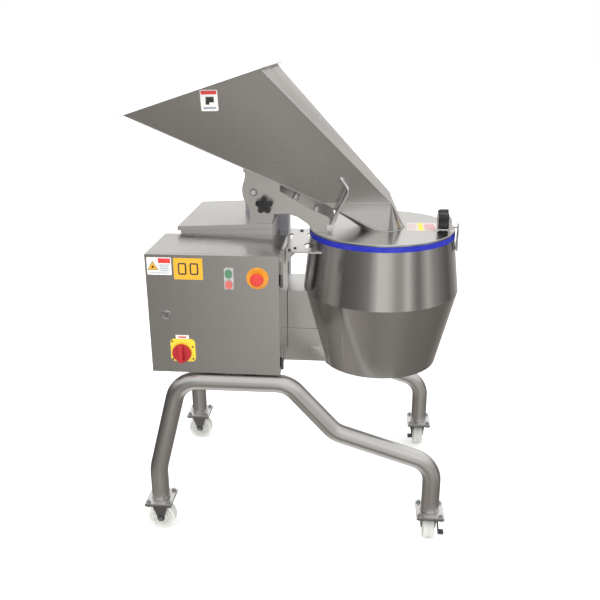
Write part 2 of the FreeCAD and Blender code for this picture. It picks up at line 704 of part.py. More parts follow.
def collar_plate(name, x, z, half_x, half_z, thickness, bores):
    """A raised plate on the door's face with holes for the stems."""
    plate = box(name + "_blank", x - half_x, S.door_front_y - thickness, z - half_z, 2 * half_x,
                thickness, 2 * half_z)
    soft = rounded(name + "_soft", plate, min(half_x, half_z) * 0.35, straight_along(Vector(0, 1, 0)))
    holes = [rod("%s_hole%d" % (name, n), radius, thickness + 2, bx, S.door_front_y - thickness - 1, bz, "Y")
             for n, (bx, bz, radius) in enumerate(bores)]
    return cut(name, soft, *holes)


BEZEL_T, CAP_PROUD, BUTTON_TRAVEL = 6, 3, 4
node("button_bezel", collar_plate(
    "button_bezel", BUTTON_X, (START_Z + STOP_Z) / 2, 15, 35, BEZEL_T,
    [(BUTTON_X, START_Z, BUTTON_CAP_R + S.slide_gap), (BUTTON_X, STOP_Z, BUTTON_CAP_R + S.slide_gap)]))


def push_button(label, z):
    """A cap on a stem; the contact block behind the door stops it."""
    cap_y = S.door_front_y - BEZEL_T - CAP_PROUD
    cap = rod(label + "_cap", BUTTON_CAP_R, BEZEL_T + CAP_PROUD - BUTTON_TRAVEL - 0.5, BUTTON_X, cap_y, z, "Y")
    stem = rod(label + "_stem", BUTTON_STEM_R, 24, BUTTON_X, cap_y, z, "Y")
    node(label, fuse(label, cap, stem))


push_button("start_button", START_Z)
push_button("stop_button", STOP_Z)

ESTOP_PLATE_R, ESTOP_PLATE_T, ESTOP_GAP, ESTOP_HEAD_R, ESTOP_HEAD_T = 36, 2, 8, 22, 16
node("estop_collar", fuse("estop_collar",
     ring("estop_plate", ESTOP_PLATE_R, ESTOP_STEM_R + S.slide_gap, ESTOP_PLATE_T, ESTOP_X,
          S.door_front_y - ESTOP_PLATE_T, ESTOP_Z, "Y"),
     ring("estop_neck", ESTOP_STEM_R + 4, ESTOP_STEM_R + S.slide_gap, 3, ESTOP_X,
          S.door_front_y - ESTOP_PLATE_T - 3, ESTOP_Z, "Y")))
estop_head_y = S.door_front_y - ESTOP_PLATE_T - ESTOP_GAP - ESTOP_HEAD_T
estop_stem = rod("estop_stem", ESTOP_STEM_R, ESTOP_GAP + 20, ESTOP_X, estop_head_y + ESTOP_HEAD_T - 1, ESTOP_Z, "Y")
mushroom = [(0, 0), (ESTOP_HEAD_R - 6, 0), (ESTOP_HEAD_R, 5), (ESTOP_HEAD_R, 10), (ESTOP_HEAD_R - 4, 14),
            (12, ESTOP_HEAD_T), (0, ESTOP_HEAD_T)]
node("estop_head", fuse("estop_head", turned("estop_mushroom", mushroom, ESTOP_X, estop_head_y, ESTOP_Z,
                                             AXIS_TURN["Y"]), estop_stem))

PLATE_T = 3
node("isolator_plate", collar_plate("isolator_plate", ISOLATOR_X + 4, ISOLATOR_Z + 9, 42, 40, PLATE_T,
                                    [(ISOLATOR_X, ISOLATOR_Z, ISOLATOR_STEM_R + S.slide_gap)]))
isolator_y = S.door_front_y - PLATE_T - 0.5
node("isolator_handle", fuse(
    "isolator_handle",
    rod("isolator_dial", 32, 8, ISOLATOR_X, isolator_y - 8, ISOLATOR_Z, "Y"),
    box("isolator_grip", ISOLATOR_X - 8, isolator_y - 26, ISOLATOR_Z - 28, 16, 20, 56),
    rod("isolator_stem", ISOLATOR_STEM_R, 30, ISOLATOR_X, isolator_y - 4, ISOLATOR_Z, "Y")))
node("door_lock", cut(
    "door_lock",
    fuse("door_lock_blank",
         rod("lock_face", 12, 3, LOCK_X, S.door_front_y - 3.4, LOCK_Z, "Y"),
         rod("lock_stem", LOCK_STEM_R, 16, LOCK_X, S.door_front_y - 3, LOCK_Z, "Y"),
         box("lock_cam", LOCK_X - 9, S.door_front_y + 9, LOCK_Z - 9, 18, 3, 44)),
    box("lock_slot", LOCK_X - 1, S.door_front_y - 5, LOCK_Z - 7, 2, 4, 14)))

# ---------------------------------------------------------------- drive housing and column

column_x2 = S.column_x + S.column_w
column_back_y = S.column_y + S.column_d


def column_space(name, spare):
    """The column's outside, with spare room round it."""
    return box(name, S.column_x - spare, S.column_y - spare, S.cabinet_z - 60,
               S.column_w + 2 * spare, S.column_d + 2 * spare, S.column_top_z)


column_outside = box("column_outside", S.column_x, S.column_y, S.cabinet_z, S.column_w, S.column_d,
                     S.column_top_z - S.cabinet_z)
column_inside = box("column_inside", S.column_x + S.column_t, S.column_y + S.column_t,
                    S.cabinet_z - 1, S.column_w - 2 * S.column_t, S.column_d - 2 * S.column_t,
                    S.column_top_z - S.column_t - S.cabinet_z + 1)
node("main_column", cut("main_column", column_outside, column_inside))

housing_w = S.housing_right_x - S.housing_x
roof_left_x, roof_right_x = S.housing_x - S.roof_over, S.housing_right_x + 3
roof_fall = (S.roof_right_z - S.roof_left_z) / (roof_right_x - roof_left_x - 2 * S.sheet_t)


def under_roof(x):
    """Underside of the sloping roof above a place along X."""
    return S.roof_left_z + roof_fall * (x - roof_left_x - S.sheet_t)


shell_outline = [(S.housing_x, bed_top_z), (S.housing_right_x, bed_top_z),
                 (S.housing_right_x, under_roof(S.housing_right_x)), (S.housing_x, under_roof(S.housing_x))]
hollow_outline = [(S.housing_x + S.housing_t, bed_top_z - 1),
                  (S.housing_right_x - S.housing_t, bed_top_z - 1),
                  (S.housing_right_x - S.housing_t, S.roof_right_z + 5),
                  (S.housing_x + S.housing_t, S.roof_left_z + 5)]
housing_depth = S.housing_back_y - S.housing_y
shell = padded("housing_outside", "XZ_Plane", shell_outline, housing_depth, 0, S.housing_y, 0)
hollow = padded("housing_inside", "XZ_Plane", hollow_outline, housing_depth - 2 * S.housing_t,
                0, S.housing_y + S.housing_t, 0)
belt_way = box("belt_way", S.housing_right_x - 20, -S.tunnel_half + 4, S.case_low_z,
               40, 2 * S.tunnel_half - 8, S.ledge_z - S.case_low_z)
motor_low_z = S.ledge_z + 6
shelf = box("motor_shelf", S.housing_x + 1, S.housing_y + 1, motor_low_z - 10, housing_w - 2, housing_depth - 2, 10)
shelf_bore = rod("motor_shelf_bore", S.motor_shaft_r + 10, 20, S.motor_x, S.motor_y, motor_low_z - 15)
node("drive_housing", cut("drive_housing", fuse("housing_blank", cut("housing_shell", shell, hollow), shelf),
                          belt_way, shelf_bore, column_space("housing_notch", 0.5)))

roof_outline = [(roof_left_x, S.roof_left_z - S.roof_lip), (roof_right_x, S.roof_right_z - S.roof_lip),
                (roof_right_x, S.roof_right_z + S.sheet_t), (roof_left_x, S.roof_left_z + S.sheet_t)]
roof_hollow = [(roof_left_x + S.sheet_t, S.roof_left_z - 2 * S.roof_lip),
               (roof_right_x - S.sheet_t, S.roof_right_z - 2 * S.roof_lip),
               (roof_right_x - S.sheet_t, S.roof_right_z), (roof_left_x + S.sheet_t, S.roof_left_z)]
roof_front_y = S.housing_y - S.roof_front_over
roof_depth = S.housing_back_y + S.roof_over - roof_front_y
roof_blank = padded("roof_blank", "XZ_Plane", roof_outline, roof_depth, 0, roof_front_y, 0)
roof_inside = padded("roof_inside", "XZ_Plane", roof_hollow, roof_depth - 2 * S.sheet_t,
                     0, roof_front_y + S.sheet_t, 0)
node("housing_roof", cut("housing_roof", roof_blank, roof_inside, column_space("roof_notch", 0.5)))

# ---------------------------------------------------------------- drum

drum_x = S.drum_x


def frustum_sheet(name, low_r, low_z, top_r, top_z):
    """A rolled cone of sheet."""
    profile = [(low_r - S.drum_t, low_z), (low_r, low_z), (top_r, top_z), (top_r - S.drum_t, top_z)]
    return turned(name, profile, drum_x, 0, 0)


def drum_notch(name):
    """The way through the drum's left wall for the tunnel and the belt case."""
    return box(name, 0, -S.case_half - 0.5, S.case_low_z - 0.5, drum_x,
               2 * S.case_half + 1, S.tunnel_top_z - S.case_low_z + 1)


upper_sheet = frustum_sheet("upper_sheet", S.drum_wide_r, S.drum_wide_z, S.drum_rim_r, S.drum_rim_z)
lower_sheet = frustum_sheet("lower_sheet", S.drum_low_r, S.drum_low_z, S.drum_wide_r, S.drum_wide_z)
node("drum_upper", cut("drum_upper", upper_sheet, drum_notch("upper_notch")))
node("drum_lower", cut("drum_lower", lower_sheet, drum_notch("lower_notch")))

gasket_out = S.drum_rim_r + 3
rim_slope = (S.drum_wide_r - S.drum_rim_r) / (S.drum_rim_z - S.drum_wide_z)
slot_low_r = S.drum_rim_r + rim_slope * (S.drum_rim_z - S.gasket_low_z).value
gasket_profile = [(gasket_out - S.gasket_w, S.gasket_low_z), (slot_low_r - S.drum_t, S.gasket_low_z),
                  (S.drum_rim_r - S.drum_t, S.drum_rim_z), (S.drum_rim_r, S.drum_rim_z),
                  (slot_low_r, S.gasket_low_z), (gasket_out, S.gasket_low_z),
                  (gasket_out, S.gasket_top_z), (gasket_out - S.gasket_w, S.gasket_top_z)]
node("drum_gasket", turned("drum_gasket", gasket_profile, drum_x, 0, 0))

# ---------------------------------------------------------------- tunnel, belt case and cradle

tunnel_x = S.housing_right_x
tunnel_end_x = drum_x + S.case_reach
tunnel_shell = box("tunnel_outside", tunnel_x, -S.tunnel_half, S.ledge_z, tunnel_end_x - tunnel_x,
                   2 * S.tunnel_half, S.tunnel_top_z - S.ledge_z)
tunnel_hollow = box("tunnel_inside", tunnel_x - 1, -S.tunnel_half + S.housing_t, S.ledge_z - 1,
                    tunnel_end_x - tunnel_x + 1 - S.housing_t, 2 * S.tunnel_half - 2 * S.housing_t,
                    S.tunnel_top_z - S.housing_t - S.ledge_z + 1)
bearing_seat_r = S.bearing_r + 12


def cabinet_space(name):
    """The cabinet's back corner, with a little room round it."""
    return box(name, tunnel_x - 1, S.cabinet_back_y - 60, S.cabinet_z - 0.5,
               cabinet_right_x + 0.5 - tunnel_x + 1, 60.5, S.cabinet_h)


node("drive_tunnel", cut("drive_tunnel", tunnel_shell, tunnel_hollow, cabinet_space("tunnel_corner"),
                         rod("tunnel_port", bearing_seat_r, 20, drum_x, 0, S.tunnel_top_z - 10),
                         column_space("tunnel_notch", 0.5)))
case_shell = box("case_outside", tunnel_x, -S.case_half, S.case_low_z, tunnel_end_x - tunnel_x,
                 2 * S.case_half, S.ledge_z - S.case_low_z)
case_hollow = box("case_inside", tunnel_x - 1, -S.case_half + S.housing_t, S.case_low_z + S.housing_t,
                  tunnel_end_x - tunnel_x + 1 - S.housing_t, 2 * S.case_half - 2 * S.housing_t,
                  S.ledge_z - S.case_low_z - 2 * S.housing_t)
boss_x, boss_z = tunnel_x + 152, S.case_low_z + 38
case_boss = box("case_boss", boss_x - 18, -S.case_half - 2, boss_z - 18, 36, 3, 36)
case_bolt = rod("case_bolt", 8, 5, boss_x, -S.case_half - 6, boss_z, "Y")
top_port = rod("case_port", bearing_seat_r, 20, drum_x, 0, S.ledge_z - 10)
node("belt_case", fuse("belt_case", cut("case_body", case_shell, case_hollow, top_port,
                                        cabinet_space("case_corner"), column_space("case_notch", 0.5)), case_boss, case_bolt))

cradle_left_x = S.housing_right_x + 4
cradle_notch_x = cabinet_right_x + 3
cradle_outline = [(cradle_left_x, S.housing_y + 4), (cradle_notch_x, S.housing_y + 4),
                  (cradle_notch_x, -S.cradle_half), (S.drum_x - 170, -S.cradle_half),
                  (S.drum_x - 170, S.cradle_half), (column_x2 + 1, S.cradle_half),
                  (column_x2 + 1, S.column_y - 1), (cradle_left_x, S.column_y - 1)]
cradle_blank = padded("cradle_blank", "XY_Plane", cradle_outline, S.cradle_t, 0, 0, S.cradle_z)
drum_clear_r = S.drum_wide_r + (S.drum_rim_r - S.drum_wide_r) * (
    (S.cradle_z - S.drum_wide_z) / (S.drum_rim_z - S.drum_wide_z)).value
cradle_cuts = [rod("cradle_bite", drum_clear_r, S.cradle_t + 2, drum_x, 0, S.cradle_z - 1)]
for n, side in enumerate((-1, 1)):
    cradle_cuts.append(rod("cradle_window%d" % n, 46, S.cradle_t + 2, drum_x - 226, side * 74,
                           S.cradle_z - 1))
for n, (hole_dx, hole_y, hole_r) in enumerate(((81, 123, 8), (78, -119, 6), (61, -145, 6))):
    cradle_cuts.append(rod("cradle_hole%d" % n, hole_r, S.cradle_t + 2, cradle_left_x + hole_dx, hole_y,
                           S.cradle_z - 1))
cradle_cuts.append(padded("cradle_triangle", "XY_Plane",
                          [(column_x2 + 4, 82), (column_x2 + 22, 80), (column_x2 + 18, -88)],
                          S.cradle_t + 2, 0, 0, S.cradle_z - 1))
gusset_t = 5
gusset = padded("cradle_gusset", "XZ_Plane",
                [(cradle_notch_x, S.cradle_z), (cradle_notch_x, S.cradle_z - 34), (cradle_notch_x + 34, S.cradle_z)],
                gusset_t, 0, -S.cradle_half + 8, 0)
post = box("cradle_post", cradle_notch_x - 1, -S.cradle_half + 4, S.cradle_z - 40, 6, 80, 40.5)
node("cradle_plate", fuse("cradle_plate", cut("cradle_cut", cradle_blank, *cradle_cuts), gusset, post))

# ---------------------------------------------------------------- slicing unit and drive

ring_top_z = S.ring_low_z + S.ring_h
rim_inner = S.ring_r - S.ring_w


def ring_rim(name, z):
    return ring(name, S.ring_r, rim_inner, S.rim_h, drum_x, 0, z)


def ring_bracket(name, angle):
    """An arm from the drum wall to the underside of the slicing ring."""
    turn = Rotation(Vector(0, 0, 1), angle)
    reach = S.drum_wide_r.value + 20 - rim_inner.value
    arm = Part.makeBox(reach, 40, 6, Vector(rim_inner.value, -20, S.ring_low_z.value - 6))
    arm.Placement = Placement(Vector(float(drum_x), 0, 0), turn)
    drum_solid = Part.makeCone(float(S.drum_wide_r - S.drum_t), float(S.drum_rim_r - S.drum_t),
                               float(S.drum_rim_z - S.drum_wide_z), Vector(float(drum_x), 0, float(S.drum_wide_z)))
    return shaped(name, arm.common(drum_solid))


node("slicing_ring", fuse("slicing_ring", ring_rim("low_rim", S.ring_low_z),
                          ring_rim("top_rim", ring_top_z - S.rim_h),
                          *[ring_bracket("ring_bracket%d" % n, 60 + 120 * n) for n in range(3)]))

shoe_low_z = S.ring_low_z + S.rim_h
shoe_h = S.ring_h - 2 * S.rim_h
shoe_step = 360 / float(S.knife_count)


def ring_sector(inner, outer, start, end, height):
    """Part of a flat ring between two angles, about the Z axis from z = 0."""
    tube = Part.makeCylinder(outer, height, Vector(), Vector(0, 0, 1), end - start)
    bore = Part.makeCylinder(inner, height + 2, Vector(0, 0, -1))
    sector = tube.cut(bore)
    sector.rotate(Vector(), Vector(0, 0, 1), start)
    return sector


shoes = []
blades = []
for n in range(int(float(S.knife_count))):
    start = n * shoe_step
    shoe = ring_sector(float(rim_inner) + 2, float(S.ring_r) - 2, start + 4, start + shoe_step - 4, float(shoe_h))
    shoes.append(shaped("knife_shoe%d" % n, shoe, drum_x, 0, shoe_low_z))
    blade = Part.makeBox(26, 1.2, float(shoe_h) - 4, Vector(-13, -0.6, 2))
    blade.rotate(Vector(), Vector(0, 0, 1), 68)
    blade.translate(Vector(float(rim_inner) + 5, 0, 0))
    blade.rotate(Vector(), Vector(0, 0, 1), start)
    blades.append(shaped("knife%d" % n, blade, drum_x, 0, shoe_low_z))
node("knife_shoes", group("knife_shoes", *shoes, *blades))

disc_z = S.ring_low_z + 8
seat_top_z = disc_z - 12
seat_low_z = S.ledge_z - 4
seat_profile = [(S.bearing_r, seat_low_z), (bearing_seat_r - 1, seat_low_z), (bearing_seat_r - 1, seat_top_z - 6),
                (bearing_seat_r - 12, seat_top_z), (S.spindle_r + 4, seat_top_z), (S.spindle_r + 4, seat_top_z - 6),
                (S.bearing_r, seat_top_z - 6)]
node("bearing_housing", fuse(
    "bearing_housing", turned("bearing_barrel", seat_profile, drum_x, 0, 0),
    ring("bearing_flange", bearing_seat_r + 26, bearing_seat_r - 2, 8, drum_x, 0, S.tunnel_top_z)))
bearing_low = {"low": seat_low_z + 6, "high": seat_top_z - 6 - S.bearing_h}
node("spindle_bearings", group("spindle_bearings", *[
    ring("spindle_bearing_" + name, S.bearing_r, S.spindle_r + S.fit_gap, S.bearing_h, drum_x, 0, z)
    for name, z in bearing_low.items()]))

pulley_low_z = S.pulley_z - S.pulley_h / 2


def pulley(name, radius, bore, x, y):
    """A two-groove belt pulley."""
    groove = 8
    outline = [(bore, 0), (radius, 0), (radius, 4), (radius - groove, 8), (radius - groove, 13),
               (radius, 17), (radius, 23), (radius - groove, 27), (radius - groove, 32),
               (radius, 36), (radius, S.pulley_h), (bore, S.pulley_h)]
    return turned(name, outline, x, y, pulley_low_z)


shaft_low_z = pulley_low_z - 4
spindle_bar = rod("spindle_bar", S.spindle_r, disc_z + 30 - shaft_low_z, drum_x, 0, shaft_low_z)
node("spindle", fuse("spindle", spindle_bar, pulley("spindle_pulley", S.pulley_r, S.spindle_r - 1, drum_x, 0)))

hub_r = S.spindle_r + 16
impeller_parts = [ring("impeller_disc", S.impeller_r, S.spindle_r, S.impeller_t, drum_x, 0, disc_z),
                  ring("impeller_hub", hub_r, S.spindle_r, 20, drum_x, 0, disc_z),
                  rod("impeller_cap", S.spindle_r + 6, 8, drum_x, 0, disc_z + 30)]
paddle_h = S.ring_h - 26
for n in range(int(float(S.paddle_count))):
    paddle = Part.makeBox(float(S.impeller_r) - 62, 5, float(paddle_h), Vector(58, -2.5, 0))
    paddle.rotate(Vector(float(S.impeller_r), 0, 0), Vector(0, 0, 1), 14)
    paddle.rotate(Vector(), Vector(0, 0, 1), n * 360 / float(S.paddle_count))
    paddle = paddle.common(Part.makeCylinder(float(S.impeller_r), float(paddle_h)))
    impeller_parts.append(shaped("paddle%d" % n, paddle, drum_x, 0, disc_z + S.impeller_t))
impeller_parts.append(ring("impeller_top", S.impeller_r, S.impeller_r - 22, 3, drum_x, 0,
                           disc_z + S.impeller_t + paddle_h))
node("impeller", fuse("impeller", *impeller_parts))

motor_body = [rod("motor_barrel", S.motor_r, S.motor_h, S.motor_x, S.motor_y, motor_low_z),
              rod("motor_cowl", S.motor_r + 4, 50, S.motor_x, S.motor_y, motor_low_z + S.motor_h),
              box("motor_terminals", S.motor_x - 45, S.motor_y + S.motor_r - 10, motor_low_z + 70, 90, 50, 90)]
for n in range(20):
    fin = Part.makeBox(10, 3, float(S.motor_h) - 40, Vector(float(S.motor_r) - 3, -1.5, 20))
    fin.rotate(Vector(), Vector(0, 0, 1), n * 18 + 9)
    motor_body.append(shaped("motor_fin%d" % n, fin, S.motor_x, S.motor_y, motor_low_z))
motor_bore = rod("motor_bore", S.motor_shaft_r + S.fit_gap, 80, S.motor_x, S.motor_y, motor_low_z - 10)
node("drive_motor", cut("drive_motor", fuse("motor_blank", *motor_body), motor_bore))
motor_bar = rod("motor_bar", S.motor_shaft_r, motor_low_z + 60 - shaft_low_z, S.motor_x, S.motor_y, shaft_low_z)
node("motor_shaft", fuse("motor_shaft", motor_bar, pulley("motor_pulley", S.motor_pulley_r, S.motor_shaft_r - 1,
                                                          S.motor_x, S.motor_y)))


def belt(name, z):
    """One V-belt round both pulleys: it runs just outside the groove floors."""
    small, large = float(S.motor_pulley_r) - 6, float(S.pulley_r) - 6
    x1, x2 = float(S.motor_x), float(drum_x)
    thick, height = 5, 4

    def loop(extra):
        r1, r2 = small + extra, large + extra
        lean = math.asin((r2 - r1) / (x2 - x1))
        c, s = math.cos(lean), math.sin(lean)
        ends = [Vector(x1 - r1 * s, r1 * c, 0), Vector(x2 - r2 * s, r2 * c, 0),
                Vector(x2 - r2 * s, -r2 * c, 0), Vector(x1 - r1 * s, -r1 * c, 0)]
        edges = [Part.LineSegment(ends[0], ends[1]).toShape(),
                 Part.Arc(ends[1], Vector(x2 + r2, 0, 0), ends[2]).toShape(),
                 Part.LineSegment(ends[2], ends[3]).toShape(),
                 Part.Arc(ends[3], Vector(x1 - r1, 0, 0), ends[0]).toShape()]
        return Part.Face(Part.Wire(edges)).extrude(Vector(0, 0, height))
    return shaped(name, loop(thick).cut(loop(0)), 0, S.motor_y, z)


node("drive_belts", group("drive_belts", belt("belt_low", pulley_low_z + 8.5),
                          belt("belt_high", pulley_low_z + 27.5)))

# ---------------------------------------------------------------- lid hinge

roof_top_z = S.roof_right_z + S.sheet_t
ear_foot_z = roof_top_z + 8
base_x1, base_x2 = S.pivot_x - 20, S.housing_right_x


def roof_height(x):
    """Top of the sloping roof above a place along X."""
    slope = (S.roof_right_z - S.roof_left_z) / (roof_right_x - roof_left_x)
    return S.roof_left_z + S.sheet_t + slope * (x - roof_left_x)


pedestal_base = padded("pedestal_base", "XZ_Plane",
                       [(base_x1, roof_height(base_x1)), (base_x2, roof_height(base_x2)),
                        (base_x2, ear_foot_z), (base_x1, ear_foot_z)],
                       2 * S.ear_mid + S.ear_t, 0, -S.ear_mid - S.ear_t / 2, 0)
pedestal_hollow = box("pedestal_hollow", base_x1 + 12, -S.ear_mid + S.ear_t, S.roof_left_z,
                      base_x2 - base_x1 - 24, 2 * S.ear_mid - 2 * S.ear_t, 60)
ear_outline = [(S.pivot_x - 16, ear_foot_z - 1), (S.housing_right_x, ear_foot_z - 1),
               (S.pivot_x + 72, S.pivot_z - 70), (S.pivot_x + 72, S.pivot_z + 12),
               (S.pivot_x + 34, S.pivot_z + 40), (S.pivot_x - 18, S.pivot_z + 40),
               (S.pivot_x - 38, S.pivot_z + 18), (S.pivot_x - 38, S.pivot_z - 15),
               (S.pivot_x - 18, S.pivot_z - 50)]
ears = [padded("ear%d" % n, "XZ_Plane", ear_outline, S.ear_t, 0, y - S.ear_t / 2, 0)
        for n, y in enumerate((-S.ear_mid, S.ear_mid))]
bush_hole = rod("bush_hole", S.shaft_r + S.fit_gap + S.bush_t, 2 * S.ear_mid + 40, S.pivot_x,
                -S.ear_mid - 20, S.pivot_z, "Y")


def clamp_slot():
    """The arc slot that the clamp stud follows as the lid opens."""
    half = float(S.stud_r) + 0.8
    reach = float(S.clamp_reach)
    first = float(S.clamp_angle)
    last = first + float(S.lid_travel) + 3
    sector = ring_sector(reach - half, reach + half, first, last, 30)
    for angle in (first, last):
        a = math.radians(angle)
        sector = sector.fuse(Part.makeCylinder(half, 30, Vector(reach * math.cos(a), reach * math.sin(a), 0)))
    sector.rotate(Vector(), Vector(1, 0, 0), 90)
    return sector


slot = shaped("clamp_slot", clamp_slot(), S.pivot_x, -S.ear_mid + 15, S.pivot_z)
node("hinge_pedestal", cut("hinge_pedestal", fuse("pedestal_blank", cut("pedestal_foot", pedestal_base,
                                                                        pedestal_hollow), *ears),
                           bush_hole, slot))


def hinge_bush(name, side):
    """A flanged bush pressed into one ear; its flange keeps ear and arm apart."""
    inner, outer = S.shaft_r + S.fit_gap, S.shaft_r + S.fit_gap + S.bush_t
    flange_t = 2.5
    start = S.ear_mid - S.ear_t / 2
    sleeve_y = start if side > 0 else -start - S.ear_t
    flange_y = start + S.ear_t if side > 0 else -start - S.ear_t - flange_t
    return fuse(name, ring(name + "_sleeve", outer, inner, S.ear_t, S.pivot_x, sleeve_y, S.pivot_z, "Y"),
                ring(name + "_flange", outer + 4, inner, flange_t, S.pivot_x, flange_y, S.pivot_z, "Y"))


node("hinge_bushes", group("hinge_bushes", hinge_bush("front_bush", -1), hinge_bush("rear_bush", 1)))

arm_out = S.arm_mid + S.arm_t / 2
shaft_head = 5
node("hinge_shaft", fuse(
    "hinge_shaft", rod("shaft_bar", S.shaft_r, 2 * arm_out, S.pivot_x, -arm_out, S.pivot_z, "Y"),
    rod("shaft_head_front", S.shaft_r - 1, shaft_head, S.pivot_x, -arm_out - shaft_head, S.pivot_z, "Y"),
    rod("shaft_head_rear", S.shaft_r - 1, shaft_head, S.pivot_x, arm_out, S.pivot_z, "Y")))

floor_slope = (S.seam_z - S.mouth_left_z) / (S.seam_left_x - S.mouth_left_x)


def hopper_floor(x):
    """Underside of the hopper above a place along X."""
    return S.mouth_left_z + floor_slope * (x - S.mouth_left_x)


stud_x = S.pivot_x + S.clamp_reach.value * math.cos(math.radians(S.clamp_angle.value))
stud_z = S.pivot_z + S.clamp_reach.value * math.sin(math.radians(S.clamp_angle.value))
arm_end_x = drum_x - 172
arm_outline = [(S.pivot_x - 24, hopper_floor(S.pivot_x - 24)), (S.pivot_x - 31, S.pivot_z + 43),
               (S.pivot_x - 38, S.pivot_z + 24), (S.pivot_x - 40, S.pivot_z + 5),
               (S.pivot_x - 38, S.pivot_z - 14), (S.pivot_x - 31, S.pivot_z - 33),
               (S.pivot_x - 20, S.pivot_z - 48), (S.pivot_x - 14, S.pivot_z - 66),
               (S.pivot_x + 73, S.pivot_z - 76), (S.pivot_x + 114, S.pivot_z - 73),
               (S.pivot_x + 150, S.pivot_z - 84), (S.pivot_x + 186, S.pivot_z - 108),
               (S.pivot_x + 206, S.lid_top_z), (arm_end_x, S.lid_top_z),
               (arm_end_x - 5, S.lid_top_z + 34), (arm_end_x - 16, S.lid_top_z + 54),
               (S.pivot_x + 200, S.pivot_z - 58), (S.pivot_x + 91, S.pivot_z + 4),
               (S.pivot_x + 91, hopper_floor(S.pivot_x + 91))]


def hinge_arm(label, y, with_stud):
    """Side plate from the hopper's underside over the hinge to the lid."""
    plate = padded(label + "_plate", "XZ_Plane", arm_outline, S.arm_t, 0, y - S.arm_t / 2, 0)
    holes = [rod(label + "_bore", S.shaft_r, S.arm_t + 2, S.pivot_x, y - S.arm_t / 2 - 1, S.pivot_z, "Y")]
    if with_stud:
        holes.append(rod(label + "_stud_hole", S.stud_r + S.bolt_gap, S.arm_t + 2, stud_x,
                         y - S.arm_t / 2 - 1, stud_z, "Y"))
    return cut(label, plate, *holes)


node("hinge_arms", group("hinge_arms", hinge_arm("front_hinge_arm", -S.arm_mid, True),
                         hinge_arm("rear_hinge_arm", S.arm_mid, False)))

arm_in = S.arm_mid - S.arm_t / 2
cross_parts = [rod("cross_bar%d" % n, 11, 2 * arm_in, S.pivot_x + dx, -arm_in, S.pivot_z + dz, "Y")
               for n, (dx, dz) in enumerate(((130, -48), (206, -92)))]
bracket_x1, bracket_x2 = S.pivot_x - 35, S.pivot_x + 27
cross_parts.append(padded("hopper_bracket", "XZ_Plane",
                          [(bracket_x1, hopper_floor(bracket_x1)), (bracket_x1, hopper_floor(bracket_x1) - 30),
                           (bracket_x2, hopper_floor(bracket_x2) - 14), (bracket_x2, hopper_floor(bracket_x2))],
                          2 * arm_in, 0, -arm_in, 0))
node("arm_cross_bars", group("arm_cross_bars", *cross_parts))

clamp_nut_y = -S.ear_mid + S.ear_t / 2 + S.body_gap
node("clamp_nut", cut("clamp_nut", box("clamp_nut_blank", stud_x - 11, clamp_nut_y, stud_z - 11, 22, 10, 22),
                      rod("clamp_nut_bore", S.stud_r + 3 * S.fit_gap, 12, stud_x, clamp_nut_y - 1, stud_z, "Y")))


def star_knob(radius, height):
    """A five-lobe grip about the Z axis: rounded lobes with hollows between them."""
    body = Part.makeCylinder(radius * 0.72, height)
    for n in range(5):
        a = math.radians(90 + 72 * n)
        body = body.fuse(Part.makeCylinder(radius * 0.33, height, Vector(radius * 0.67 * math.cos(a),
                                                                       radius * 0.67 * math.sin(a), 0)))
    for n in range(5):
        a = math.radians(126 + 72 * n)
        body = body.cut(Part.makeCylinder(radius * 0.22, height + 2, Vector(radius * 0.92 * math.cos(a),
                                                                           radius * 0.92 * math.sin(a), -1)))
    dome = Part.makeCone(radius * 1.45, radius * 0.6, height * 1.5)
    return body.common(dome)


hinge_knob_t, knob_gap = 22, 1.0
hinge_knob_y = -arm_out - knob_gap
knob_shape = star_knob(float(S.hinge_knob_r), hinge_knob_t)
knob_shape.rotate(Vector(), Vector(1, 0, 0), 90)
stud_end_y = clamp_nut_y + 14
node("hinge_clamp_knob", fuse("hinge_clamp_knob",
                              shaped("hinge_knob_grip", knob_shape, stud_x, hinge_knob_y, stud_z),
                              rod("hinge_knob_stud", S.stud_r, stud_end_y - hinge_knob_y + 4, stud_x,
                                  hinge_knob_y - 4, stud_z, "Y")))

# ---------------------------------------------------------------- lid, throat and hopper

lid_profile = [(S.throat_r + 0.2, S.lid_top_z - S.lid_t), (S.throat_r + 0.2, S.lid_top_z),
               (S.lid_r - 2, S.lid_top_z), (S.lid_r, S.lid_top_z - 2), (S.lid_r, S.lid_low_z),
               (S.lid_r - 3, S.lid_low_z), (S.lid_r - 3, S.lid_top_z - S.lid_t)]
lug_w, lug_top_z = 28, S.latch_z + 10
lug = cut("lid_lug", box("lid_lug_blank", S.lug_x, S.latch_y - lug_w / 2, S.lid_top_z - 1, S.lug_t, lug_w,
                         lug_top_z - S.lid_top_z + 1),
          rod("lid_lug_bore", S.stud_r + S.fit_gap, 10, S.lug_x - 2, S.latch_y, S.latch_z, "X"))
node("lid_plate", fuse("lid_plate", turned("lid_disc", lid_profile, drum_x, 0, 0), lug))


def wall_half_at_left():
    """Half width of the hopper outlet at its left edge that keeps each side wall flat."""
    a = Vector(float(S.mouth_left_x), -float(S.mouth_half), float(S.mouth_left_z))
    b = Vector(float(S.mouth_right_x), -float(S.mouth_half), float(S.mouth_right_z))
    c = Vector(float(S.seam_right_x), -float(S.seam_half), float(S.seam_z))
    normal = (b - a).cross(c - a)
    dx, dz = float(S.seam_left_x) - a.x, float(S.seam_z) - a.z
    return -(a.y - (normal.x * dx + normal.z * dz) / normal.y)


seam_left_half = wall_half_at_left()


